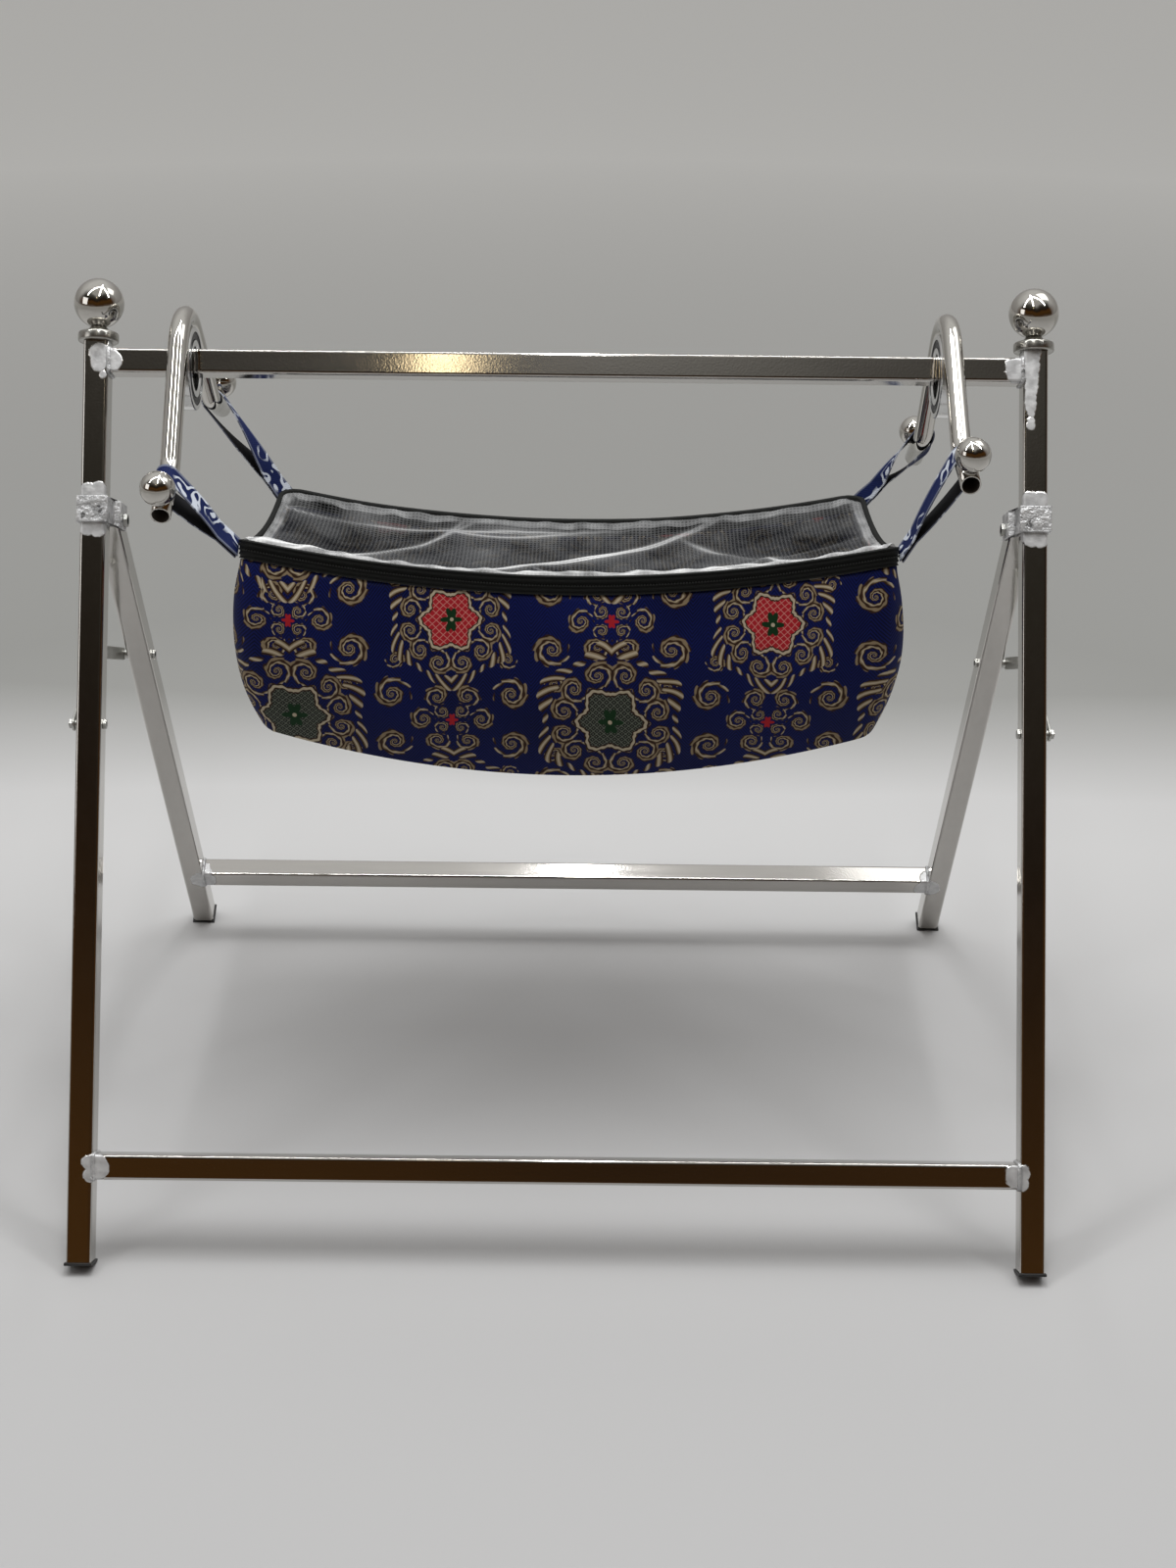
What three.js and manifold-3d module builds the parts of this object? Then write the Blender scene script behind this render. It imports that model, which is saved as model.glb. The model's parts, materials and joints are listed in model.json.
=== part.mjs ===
// A hanging baby cradle: a folding A-frame stand of square steel tube and a cloth basket
// that swings from two ball bearings on the top rail. Millimetres, +Z up, +X along the rails.
// The origin is on the floor, under the middle of the stand.
import * as THREE from 'three';
import { mergeVertices } from 'three/addons/utils/BufferGeometryUtils.js';
import Module from 'manifold-3d';

const wasm = await Module();
wasm.setup();

// Fits that many pieces share
const gap = 0.3;

// Square tube of the whole stand
const tubeSide = 25.4;
const tubeWall = 1.5;
const tubeCorner = 2.5;
const tubeCornerSteps = 1;

// Front frame
const standWidth = 983;
const postLean = THREE.MathUtils.degToRad(27.6);
const topRailHeight = 912.9;
const postTopReach = 20.1;
const frontRailHeight = 95.4;

// Back frame, and its pivot below the top rail
const legLean = THREE.MathUtils.degToRad(27.6);
const legInset = 6;
const legTopReach = 12;
const backRailHeight = 94.2;
const pivotDrop = 156.9;
const pivotSetback = 36;

// Plastic plugs in the tube ends
const plugFlange = 3;
const plugLip = 1.3;
const plugDepth = 18;
const plugWall = 2;
const soleWear = 1.2;
const topPlugFlange = 2.5;
const topPlugCorner = 5;

// Cap and ball on each post
const capRadius = 20.5;
const capThickness = 10;
const capEdge = 2;
const neckRadius = 12;
const neckLength = 6;
const finialRadius = 25.4;
const finialSeatRadius = 8;
const finialSegments = 16;
const capSegments = 20;

// Clamp strap that wraps the post and carries the pivot
const clampThickness = 3;
const clampHeight = 27;
const clampRise = 4;
const clampBend = 4;
const earReach = 13;

// Bolts
const pivotBoltRadius = 4;
const stayBoltRadius = 3;
const boltHole = 0.4;
const boltHeadRadiusShare = 1.7;
const boltHeadShare = 0.9;
const boltSides = 6;
const boltShankSides = 10;

// Folding stays between post and leg
const stayBoltDrop = 214;
const stayKneeRise = 39.6;
const stayWidth = 14;
const stayThickness = 2.5;
const stayRivetRadius = 3;
const stayRivetHead = 1.8;
const stayEndSteps = 4;

// Ball bearings on the top rail
const bearingBore = 45;
const bearingOuter = 85;
const bearingWidth = 19;
const innerRingOuter = 57.6;
const outerRingInner = 74.4;
const raceBallRadius = 5.6;
const raceClearance = 0.5;
const raceBallCount = 9;
const raceBallSegments = 6;
const cageWidth = 6;
const cageThickness = 1.6;
const sealThickness = 1.2;
const sealInset = 0.8;
const bearingSegments = 24;
const bearingInset = 78.1;

// Hangers bent from round tube, one welded round each bearing
const hangerTube = 20;
const hangerWall = 1.5;
const hangerSplay = THREE.MathUtils.degToRad(40);
const hangerArm = 131;
const hangerHook = 70;
const hangerHookTurn = THREE.MathUtils.degToRad(26);
const hangerTurnLeft = THREE.MathUtils.degToRad(0);
const hangerTurnRight = THREE.MathUtils.degToRad(-13);
const hangerBend = 40;
const hangerSides = 12;
const hangerArchSteps = 9;
const hangerBendSteps = 3;
const hookBallRadius = 17.2;
const hookBallSetback = 8;
const hookBallSegments = 14;

// Cloth basket, placed from the swing axis
const basketEndGap = 61;
const basketWidth = 330;
const basketShift = 6;
const basketCorner = 24;
const rimDropFront = 125;
const rimDropBack = 177;
const rimSag = 36;
const rimEndSag = 22;
const floorDrop = 330;
const floorSag = 54;
const floorCrossSag = 6;
const wallBulge = 13;
const floorInset = 12;
const clothThickness = 4;
const bandHeight = 19;
const bandThickness = 5;
const bandOverhang = 1.5;
const bandSeam = 0.8;
const netThickness = 1.6;
const netSag = 16;
const netLift = 2;
const netFold = 7;
const netFoldWidth = 16;
const wallRings = 5;
const floorRings = 3;
const netRings = 8;
const rimSegments = 40;

// Webbing straps
const strapWidth = 26;
const strapThickness = 2.2;
const strapTab = 30;
const strapSeat = 24;
const strapClearance = 0.5;
const strapArcSteps = 6;

// Slider of the basket's zip
const sliderLength = 13;
const sliderHeight = 9;
const sliderThickness = 4;
const sliderPlaceShare = 0.86;

const steel = new THREE.MeshStandardMaterial({ color: 0xb9b6ae, roughness: 0.18, metalness: 1 });
const bearingSteel = new THREE.MeshStandardMaterial({ color: 0xc9c9c6, roughness: 0.12, metalness: 1 });
const paintedSteel = new THREE.MeshStandardMaterial({ color: 0xc4c5c6, roughness: 0.45, metalness: 0.6 });
const zincSteel = new THREE.MeshStandardMaterial({ color: 0xa9a8a2, roughness: 0.35, metalness: 0.9 });
const blackPlastic = new THREE.MeshStandardMaterial({ color: 0x151515, roughness: 0.55, metalness: 0 });
const sealRubber = new THREE.MeshStandardMaterial({ color: 0x1a1a1c, roughness: 0.6, metalness: 0 });
const printedCloth = new THREE.MeshStandardMaterial({ color: 0x14205e, roughness: 0.75, metalness: 0 });
const strapCloth = new THREE.MeshStandardMaterial({ color: 0x2b3c86, roughness: 0.8, metalness: 0 });
const zipTape = new THREE.MeshStandardMaterial({ color: 0x0c0d0c, roughness: 0.7, metalness: 0 });
const whiteNet = new THREE.MeshStandardMaterial({ color: 0xdedfdd, roughness: 0.8, metalness: 0 });

// Places that follow from the sizes above
const half = tubeSide / 2;
const postX = standWidth / 2 - half;
const legX = postX - legInset;
const bearingX = postX - half - bearingInset;
const postLength = topRailHeight + postTopReach;
const pivotHeight = topRailHeight - pivotDrop;
const plugHalf = half + plugLip;
const plugReach = gap + plugFlange;
const sin = Math.sin;
const cos = Math.cos;
const footHeight = plugReach * cos(postLean) + plugHalf * sin(postLean) - soleWear;

const frontPoint = (back, up) => ({
  y: back * cos(postLean) + up * sin(postLean),
  z: footHeight - back * sin(postLean) + up * cos(postLean),
});
const pivotFromFoot = frontPoint(pivotSetback, pivotHeight);
const legLength = (pivotFromFoot.z + soleWear - plugHalf * sin(legLean)) / cos(legLean) - plugReach;
const frontmost = -plugHalf * cos(postLean) - plugReach * sin(postLean);
const backmost = pivotFromFoot.y + (legLength + plugReach) * sin(legLean) + plugHalf * cos(legLean);
const footY = -(frontmost + backmost) / 2;
const pivot = { y: pivotFromFoot.y + footY, z: pivotFromFoot.z };
const topRailFromFoot = frontPoint(0, topRailHeight);

// The bearing's bore hangs on the rail's upper front corner
const cornerReach = half - tubeCorner;
const boreReach = bearingBore / 2 - tubeCorner - gap;
const cornerBack = cornerReach * (cos(postLean) - sin(postLean));
const bearingHang = Math.sqrt(boreReach ** 2 - cornerBack ** 2) - cornerReach * (sin(postLean) + cos(postLean));
const axisY = topRailFromFoot.y + footY;
const axisZ = topRailFromFoot.z - bearingHang;

// Groups
const cradle = new THREE.Group();
const frontFrame = new THREE.Group();
frontFrame.position.set(0, footY, footHeight);
frontFrame.rotation.x = -postLean;
const backFrame = new THREE.Group();
backFrame.position.set(0, pivot.y, pivot.z);
backFrame.rotation.x = legLean;
const swing = new THREE.Group();
swing.position.set(0, axisY, axisZ);
cradle.add(frontFrame, backFrame, swing);
const sides = [{ name: 'left', sign: -1 }, { name: 'right', sign: 1 }];

function place(parent, name, geometry, material, x = 0, y = 0, z = 0) {
  const piece = new THREE.Mesh(geometry, material);
  piece.name = name;
  piece.position.set(x, y, z);
  parent.add(piece);
  return piece;
}

// Booleans
function toSolid(geometry) {
  const bare = geometry.clone();
  bare.deleteAttribute('normal');
  bare.deleteAttribute('uv');
  const merged = mergeVertices(bare);
  const vertProperties = new Float32Array(merged.attributes.position.array);
  const triVerts = new Uint32Array(merged.index.array);
  return new wasm.Manifold(new wasm.Mesh({ numProp: 3, vertProperties, triVerts }));
}

function toGeometry(solid) {
  const mesh = solid.getMesh();
  const geometry = new THREE.BufferGeometry();
  geometry.setAttribute('position', new THREE.BufferAttribute(mesh.vertProperties, 3));
  geometry.setIndex(new THREE.BufferAttribute(mesh.triVerts, 1));
  return geometry;
}

function cut(geometry, ...tools) {
  let solid = toSolid(geometry);
  for (const tool of tools) {
    solid = solid.subtract(toSolid(tool));
  }
  return toGeometry(solid);
}

function joined(...geometries) {
  let solid = toSolid(geometries[0]);
  for (const other of geometries.slice(1)) {
    solid = solid.add(toSolid(other));
  }
  return toGeometry(solid);
}

// Outlines
function roundedSquare(path, reach, corner) {
  const inner = reach - corner;
  path.moveTo(reach, -inner);
  path.lineTo(reach, inner);
  path.absarc(inner, inner, corner, 0, Math.PI / 2, false);
  path.lineTo(-inner, reach);
  path.absarc(-inner, inner, corner, Math.PI / 2, Math.PI, false);
  path.lineTo(-reach, -inner);
  path.absarc(-inner, -inner, corner, Math.PI, 1.5 * Math.PI, false);
  path.lineTo(inner, -reach);
  path.absarc(inner, -inner, corner, 1.5 * Math.PI, 2 * Math.PI, false);
  return path;
}

function extruded(shape, depth, curveSegments) {
  return new THREE.ExtrudeGeometry(shape, { depth, curveSegments, bevelEnabled: false });
}

// A square tube along +Z from zero
function squareTube(length) {
  const shape = roundedSquare(new THREE.Shape(), half, tubeCorner);
  shape.holes.push(roundedSquare(new THREE.Path(), half - tubeWall, tubeCorner - tubeWall));
  return extruded(shape, length, tubeCornerSteps);
}

// A square tube along X, centred on zero
function railTube(length) {
  const tube = squareTube(length);
  tube.translate(0, 0, -length / 2);
  tube.rotateY(Math.PI / 2);
  return tube;
}

// A round bar along X from one place to another
function bar(radius, fromX, toX, segments) {
  const geometry = new THREE.CylinderGeometry(radius, radius, toX - fromX, segments);
  geometry.rotateZ(Math.PI / 2);
  geometry.translate((fromX + toX) / 2, 0, 0);
  return geometry;
}

// A bolt along X with a hexagon head outside and a nut inside
function bolt(radius, fromX, toX) {
  const head = radius * boltHeadShare;
  const headRadius = radius * boltHeadRadiusShare;
  const shank = bar(radius, fromX - head / 2, toX + head / 2, boltShankSides);
  const near = bar(headRadius, fromX - head, fromX, boltSides);
  const far = bar(headRadius, toX, toX + head, boltSides);
  return joined(shank, near, far);
}

// A plug in a tube's lower end: a flange whose worn corner lies flat on the floor, and a hollow spigot
function footPlug(lean, lowSide) {
  const flange = new THREE.Shape();
  const low = -plugReach;
  flange.moveTo(-plugHalf * lowSide, low);
  flange.lineTo((plugHalf - soleWear / sin(lean)) * lowSide, low);
  flange.lineTo(plugHalf * lowSide, low + soleWear / cos(lean));
  flange.lineTo(plugHalf * lowSide, -gap);
  flange.lineTo(-plugHalf * lowSide, -gap);
  const sole = extruded(flange, 2 * plugHalf, 1);
  sole.translate(0, 0, -plugHalf);
  sole.rotateY(Math.PI / 2);
  sole.rotateX(Math.PI / 2);
  return joined(sole, spigot());
}

// The hollow spigot of a plug, up +Z from inside its flange
function spigot() {
  const reach = half - tubeWall - gap;
  const shape = roundedSquare(new THREE.Shape(), reach, plugWall / 2);
  shape.holes.push(roundedSquare(new THREE.Path(), reach - plugWall, plugWall / 4));
  const geometry = extruded(shape, plugDepth + plugFlange / 2, 2);
  geometry.translate(0, 0, -gap - plugFlange / 2);
  return geometry;
}

// A plug in a leg's upper end, with its rear edge rounded off
function topPlug() {
  const top = new THREE.Shape();
  top.moveTo(-half, gap);
  top.lineTo(half, gap);
  top.lineTo(half, gap + topPlugFlange);
  top.lineTo(-half + topPlugCorner, gap + topPlugFlange);
  top.lineTo(-half, gap + topPlugFlange / 2);
  const flange = extruded(top, tubeSide, 1);
  flange.translate(0, 0, -half);
  flange.rotateY(Math.PI / 2);
  flange.rotateX(Math.PI / 2);
  const inner = spigot();
  inner.rotateX(Math.PI);
  return joined(flange, inner);
}

// Cap with its neck, and the ball above
function postCap() {
  const neckTop = capThickness + neckLength;
  const outline = [
    [0, 0], [capRadius - capEdge, 0], [capRadius, capEdge], [capRadius, capThickness - capEdge],
    [capRadius - capEdge, capThickness], [neckRadius, capThickness], [finialSeatRadius, neckTop], [0, neckTop],
  ];
  const geometry = new THREE.LatheGeometry(outline.map(([x, y]) => new THREE.Vector2(x, y)), capSegments);
  geometry.rotateX(Math.PI / 2);
  return geometry;
}

function finialBall() {
  const start = Math.asin(finialSeatRadius / finialRadius);
  const outline = [new THREE.Vector2(0, -finialRadius * cos(start))];
  const rings = finialSegments / 2;
  for (let i = 0; i <= rings; i += 1) {
    const angle = start + (Math.PI - start) * (i / rings);
    const radius = i === rings ? 0 : finialRadius * sin(angle);
    outline.push(new THREE.Vector2(radius, -finialRadius * cos(angle)));
  }
  const geometry = new THREE.LatheGeometry(outline, finialSegments);
  geometry.rotateX(Math.PI / 2);
  return geometry;
}

// Clamp strap: its plan is a U round the post whose ears step inwards to the leg
function clampStrap(sign) {
  const postOut = half + gap;
  const skin = postOut + clampThickness;
  const shift = -sign * legInset;
  const earStart = postOut;
  const bendEnd = earStart + clampBend;
  const earEnd = pivotSetback + earReach;
  const plan = new THREE.Shape();
  plan.moveTo(-skin, -skin);
  plan.lineTo(skin, -skin);
  plan.lineTo(skin, earStart);
  plan.lineTo(skin + shift, bendEnd);
  plan.lineTo(skin + shift, earEnd);
  plan.lineTo(postOut + shift, earEnd);
  plan.lineTo(postOut + shift, bendEnd);
  plan.lineTo(postOut, earStart);
  plan.lineTo(postOut, -postOut);
  plan.lineTo(-postOut, -postOut);
  plan.lineTo(-postOut, earStart);
  plan.lineTo(-postOut + shift, bendEnd);
  plan.lineTo(-postOut + shift, earEnd);
  plan.lineTo(-skin + shift, earEnd);
  plan.lineTo(-skin + shift, bendEnd);
  plan.lineTo(-skin, earStart);
  const strap = extruded(plan, clampHeight, 1);
  strap.translate(0, 0, clampRise - clampHeight / 2);
  const hole = bar(pivotBoltRadius + boltHole, -standWidth, standWidth, boltShankSides);
  hole.translate(0, pivotSetback, 0);
  return cut(strap, hole);
}

// Stay link: a flat bar with round ends and a hole at the end that turns on its bolt
function stayLink(boltHoleRadius, farHoleRadius, thickness) {
  const round = stayWidth / 2;
  const shape = new THREE.Shape();
  shape.absarc(0, 0, round, Math.PI, 2 * Math.PI, false);
  shape.absarc(0, stayReach, round, 0, Math.PI, false);
  const nearHole = new THREE.Path();
  nearHole.absarc(0, 0, boltHoleRadius, 0, 2 * Math.PI, true);
  const farHole = new THREE.Path();
  farHole.absarc(0, stayReach, farHoleRadius, 0, 2 * Math.PI, true);
  shape.holes.push(nearHole, farHole);
  const geometry = extruded(shape, thickness, stayEndSteps);
  geometry.translate(0, 0, -thickness / 2);
  geometry.rotateX(Math.PI / 2);
  geometry.rotateZ(Math.PI / 2);
  return geometry;
}

function stayRivet() {
  const shank = bar(stayRivetRadius, -stayThickness / 2, stayThickness / 2 + stayRivetHead / 2, boltShankSides);
  const headFrom = stayThickness / 2 + gap;
  const head = bar(stayRivetRadius * boltHeadRadiusShare, headFrom, headFrom + stayRivetHead, boltShankSides);
  return joined(shank, head);
}

// Bearing rings turned about X, with a groove for the balls
const raceMiddle = (innerRingOuter + outerRingInner) / 4;
const grooveRadius = raceBallRadius + raceClearance;
const grooveSteps = 3;

function turnedAboutX(outline, segments) {
  const closed = [...outline, outline[0]];
  const geometry = new THREE.LatheGeometry(closed.map(([x, y]) => new THREE.Vector2(x, y)), segments);
  geometry.rotateZ(-Math.PI / 2);
  return geometry;
}

// The groove's points, with side 1 for the outer ring and -1 for the inner ring
function groove(wallRadius, side) {
  const reach = Math.acos(Math.abs(wallRadius - raceMiddle) / grooveRadius);
  const points = [];
  for (let i = 0; i <= grooveSteps; i += 1) {
    const angle = -reach + 2 * reach * (i / grooveSteps);
    points.push([raceMiddle + side * grooveRadius * cos(angle), grooveRadius * sin(angle)]);
  }
  return points;
}

function innerRing() {
  const w = bearingWidth / 2;
  const bore = bearingBore / 2;
  const wall = innerRingOuter / 2;
  return turnedAboutX([[bore, -w], [wall, -w], ...groove(wall, -1), [wall, w], [bore, w]], bearingSegments);
}

function outerRing() {
  const w = bearingWidth / 2;
  const wall = outerRingInner / 2;
  const rim = bearingOuter / 2;
  return turnedAboutX([[rim, -w], [rim, w], [wall, w], ...groove(wall, 1).reverse(), [wall, -w]], bearingSegments);
}

// A seal, drawn for the face on the +X side
function bearingSeal() {
  const low = innerRingOuter / 2 + 2 * gap;
  const high = outerRingInner / 2 - gap;
  const out = bearingWidth / 2 - sealInset;
  const inside = out - sealThickness;
  return turnedAboutX([[low, inside], [high, inside], [high, out], [low, out]], bearingSegments);
}

// The balls in their cage, a thin ring that runs through the pockets
function ballCage() {
  const low = raceMiddle - cageThickness / 2;
  const high = raceMiddle + cageThickness / 2;
  const side = cageWidth / 2;
  const ring = turnedAboutX([[low, -side], [high, -side], [high, side], [low, side]], bearingSegments);
  const balls = [];
  for (let i = 0; i < raceBallCount; i += 1) {
    const turn = (2 * Math.PI * i) / raceBallCount;
    const ball = new THREE.SphereGeometry(raceBallRadius, raceBallSegments, raceBallSegments / 2);
    ball.translate(0, raceMiddle * cos(turn), raceMiddle * sin(turn));
    balls.push(ball);
  }
  return joined(ring, ...balls);
}

// The hanger's centre line in its own YZ plane, from the rear hook over the bearing to the front hook
const archTurn = (Math.PI - 2 * hangerSplay) / hangerArchSteps;
const archRadius = (bearingOuter / 2 + gap + hangerTube / 2) / cos(archTurn / 2);

function hookPoints(side) {
  const down = new THREE.Vector3(0, side * sin(hangerSplay), -cos(hangerSplay));
  const arch = new THREE.Vector3(0, side * archRadius * cos(hangerSplay), archRadius * sin(hangerSplay));
  const hookDown = new THREE.Vector3(0, side * sin(hangerSplay + hangerHookTurn), -cos(hangerSplay + hangerHookTurn));
  const hookUp = new THREE.Vector3(0, side * cos(hangerSplay + hangerHookTurn), sin(hangerSplay + hangerHookTurn));
  const elbow = arch.clone().addScaledVector(down, hangerArm);
  const end = elbow.clone().addScaledVector(hookDown, hangerHook);
  const strapPoint = elbow.clone().addScaledVector(hookDown, strapSeat);
  const ballRise = hangerTube / 2 + hookBallRadius + gap;
  const ball = end.clone().addScaledVector(hookDown, -hookBallSetback).addScaledVector(hookUp, ballRise);
  return { arch, elbow, end, strapPoint, hookDown, ball, up: hookUp };
}

// A path through given points, where every step of an extrusion falls on one of them
class PointPath extends THREE.Curve {
  constructor(points) {
    super();
    this.points = points;
  }

  getPointAt(share, target = new THREE.Vector3()) {
    return target.copy(this.points[Math.round(share * (this.points.length - 1))]);
  }

  getTangentAt(share, target = new THREE.Vector3()) {
    const at = Math.round(share * (this.points.length - 1));
    const before = this.points[Math.max(0, at - 1)];
    const after = this.points[Math.min(this.points.length - 1, at + 1)];
    return target.copy(after).sub(before).normalize();
  }
}

function bendPoints(from, corner, to) {
  const reach = hangerBend * Math.tan(hangerHookTurn / 2);
  const start = corner.clone().add(from.clone().sub(corner).setLength(reach));
  const end = corner.clone().add(to.clone().sub(corner).setLength(reach));
  return new THREE.QuadraticBezierCurve3(start, corner, end).getPoints(hangerBendSteps);
}

function hangerPath() {
  const rear = hookPoints(1);
  const front = hookPoints(-1);
  const arch = [];
  for (let i = 0; i <= hangerArchSteps; i += 1) {
    const angle = hangerSplay + i * archTurn;
    arch.push(new THREE.Vector3(0, archRadius * cos(angle), archRadius * sin(angle)));
  }
  return new PointPath([
    rear.end, ...bendPoints(rear.end, rear.elbow, rear.arch),
    ...arch, ...bendPoints(front.arch, front.elbow, front.end), front.end,
  ]);
}

function roundSection(path, radius) {
  for (let i = 0; i <= hangerSides; i += 1) {
    const turn = (2 * Math.PI * i) / hangerSides;
    const move = i === 0 ? 'moveTo' : 'lineTo';
    path[move](radius * cos(turn), radius * sin(turn));
  }
}

// The hanger tube, or with a clearance the solid room that it needs
function hangerGeometry(clearance) {
  const radius = hangerTube / 2 + clearance;
  const shape = new THREE.Shape();
  roundSection(shape, radius);
  if (clearance === 0) {
    const bore = new THREE.Path();
    roundSection(bore, radius - hangerWall);
    shape.holes.push(bore);
  }
  const extrudePath = hangerPath();
  return new THREE.ExtrudeGeometry(shape, { steps: extrudePath.points.length - 1, extrudePath });
}

// Basket surfaces, measured from the swing axis
const basketReachX = bearingX - basketEndGap;
const basketReachY = basketWidth / 2;

// A point round the basket's plan at a share of the way round, set in or out by an offset
function planPoint(share, offset) {
  const corner = basketCorner + offset;
  const straightX = 2 * (basketReachX - basketCorner);
  const straightY = 2 * (basketReachY - basketCorner);
  const arc = (Math.PI / 2) * basketCorner;
  const runs = [straightX, arc, straightY, arc, straightX, arc, straightY, arc];
  let left = share * 2 * (straightX + straightY + 2 * arc);
  let run = 0;
  while (run < runs.length - 1 && left > runs[run]) {
    left -= runs[run];
    run += 1;
  }
  const cornerX = basketReachX - basketCorner;
  const cornerY = basketReachY - basketCorner;
  const along = left / runs[run];
  const turn = (run - 1) / 2;
  const angle = -Math.PI / 2 + (Math.PI / 2) * (turn + along);
  const signs = [[1, -1], [1, 1], [-1, 1], [-1, -1]];
  if (run % 2 === 1) {
    const [sx, sy] = signs[turn];
    return { x: sx * cornerX + corner * cos(angle), y: sy * cornerY + corner * sin(angle) };
  }
  const reachX = basketReachX + offset;
  const reachY = basketReachY + offset;
  if (run === 0) return { x: -cornerX + left, y: -reachY };
  if (run === 2) return { x: reachX, y: -cornerY + left };
  if (run === 4) return { x: cornerX - left, y: reachY };
  return { x: -reachX, y: cornerY - left };
}

const bow = (x) => 1 - Math.min(1, (x / basketReachX) ** 2);

function rimHeight(x, y) {
  const backShare = (y / basketReachY + 1) / 2;
  const across = 1 - (y / basketReachY) ** 2;
  return -rimDropFront - (rimDropBack - rimDropFront) * backShare - rimSag * bow(x) - rimEndSag * across;
}

function floorHeight(x, y) {
  return -floorDrop - floorSag * bow(x) - floorCrossSag * (1 - (y / basketReachY) ** 2);
}

// Closes rings of points, each the same number round, into one skin
function skin(rings, closesOnItself) {
  const positions = [];
  const index = [];
  const starts = [];
  for (const ring of rings) {
    starts.push(positions.length / 3);
    for (const p of ring) {
      positions.push(p.x + basketShift, p.y, p.z);
    }
  }
  const count = closesOnItself ? rings.length : rings.length - 1;
  for (let r = 0; r < count; r += 1) {
    const a = rings[r];
    const b = rings[(r + 1) % rings.length];
    const startA = starts[r];
    const startB = starts[(r + 1) % rings.length];
    for (let i = 0; i < rimSegments; i += 1) {
      const j = (i + 1) % rimSegments;
      if (a.length === 1) {
        index.push(startA, startB + j, startB + i);
      } else if (b.length === 1) {
        index.push(startA + i, startA + j, startB);
      } else {
        index.push(startA + i, startA + j, startB + j);
        index.push(startA + i, startB + j, startB + i);
      }
    }
  }
  const geometry = new THREE.BufferGeometry();
  geometry.setAttribute('position', new THREE.Float32BufferAttribute(positions, 3));
  geometry.setIndex(index);
  return geometry;
}

function ringOf(pointAt) {
  const points = [];
  for (let i = 0; i < rimSegments; i += 1) {
    points.push(pointAt(i / rimSegments));
  }
  return points;
}

// One ring of the basket's wall, from 0 at the band to 1 at the floor
function wallRing(down, offset, lift) {
  return ringOf((share) => {
    const rim = planPoint(share, 0);
    const bulge = wallBulge * sin(Math.PI * Math.min(1, down)) - floorInset * down ** 4;
    const p = planPoint(share, offset + bulge);
    const top = rimHeight(rim.x, rim.y) - bandHeight - bandSeam;
    const bottom = floorHeight(rim.x, rim.y) + lift;
    return { x: p.x, y: p.y, z: top + (bottom - top) * down };
  });
}

// One ring of the basket's floor, from 1 at the wall down to 0 at its middle
function floorRing(share, offset, lift) {
  return ringOf((round) => {
    const p = planPoint(round, offset - floorInset);
    const x = p.x * share;
    const y = p.y * share;
    return { x, y, z: floorHeight(x, y) + lift };
  });
}

function basketShell() {
  const outer = [];
  const inner = [];
  for (let i = 0; i <= wallRings; i += 1) {
    outer.push(wallRing(i / wallRings, 0, 0));
    inner.push(wallRing(i / wallRings, -clothThickness, clothThickness));
  }
  for (let i = 1; i < floorRings; i += 1) {
    outer.push(floorRing(1 - i / floorRings, 0, 0));
    inner.push(floorRing(1 - i / floorRings, -clothThickness, clothThickness));
  }
  outer.push([{ x: 0, y: 0, z: floorHeight(0, 0) }]);
  inner.push([{ x: 0, y: 0, z: floorHeight(0, 0) + clothThickness }]);
  return bowl(outer, inner);
}

// A bowl's skin: down the outside to the middle, then up the inside and over the rim
function bowl(outer, inner) {
  const outside = skin([...outer].reverse(), false);
  const inside = skin(inner, false);
  const rim = skin([outer[0], inner[0]], false);
  const faces = [...outside.index.array];
  const positions = [...outside.attributes.position.array];
  for (const part of [inside, rim]) {
    const start = positions.length / 3;
    positions.push(...part.attributes.position.array);
    faces.push(...[...part.index.array].map((i) => i + start));
  }
  const geometry = new THREE.BufferGeometry();
  geometry.setAttribute('position', new THREE.Float32BufferAttribute(positions, 3));
  geometry.setIndex(faces);
  return mergeVertices(geometry);
}

function bandRing(offset, drop) {
  return ringOf((share) => {
    const rim = planPoint(share, 0);
    const p = planPoint(share, offset);
    return { x: p.x, y: p.y, z: rimHeight(rim.x, rim.y) - drop };
  });
}

// The black zip band that stands on the basket's wall, with an optional clearance all round
function zipBand(clearance) {
  const out = bandOverhang + clearance;
  const inside = bandOverhang - bandThickness - clearance;
  const rings = [
    bandRing(out, bandHeight + clearance), bandRing(out, -clearance),
    bandRing(inside, -clearance), bandRing(inside, bandHeight + clearance),
  ];
  return skin(rings, true);
}

// Folds of the net run from its front left corner and across it
const netFoldShares = [
  [[-1, -1], [0.1, 0.9]], [[-1, -1], [0.75, 0.25]], [[-0.35, -0.9], [0.55, 1]], [[0.95, -0.9], [0.2, 0.8]],
];

function foldRise(x, y) {
  let rise = 0;
  for (const [from, to] of netFoldShares) {
    const ax = from[0] * basketReachX;
    const ay = from[1] * basketReachY;
    const dx = to[0] * basketReachX - ax;
    const dy = to[1] * basketReachY - ay;
    const along = ((x - ax) * dx + (y - ay) * dy) / (dx * dx + dy * dy);
    const near = Math.min(1, Math.max(0, along));
    const away = Math.hypot(x - ax - near * dx, y - ay - near * dy);
    rise += netFold * Math.exp(-((away / netFoldWidth) ** 2));
  }
  return rise;
}

function netRing(share, lower) {
  return ringOf((round) => {
    const p = planPoint(round, bandOverhang - bandThickness - gap);
    const x = p.x * share;
    const y = p.y * share;
    const open = 1 - share ** 4;
    const sag = netSag * open - foldRise(x, y) * open;
    return { x, y, z: rimHeight(x, y) - netLift - sag - lower };
  });
}

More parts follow.
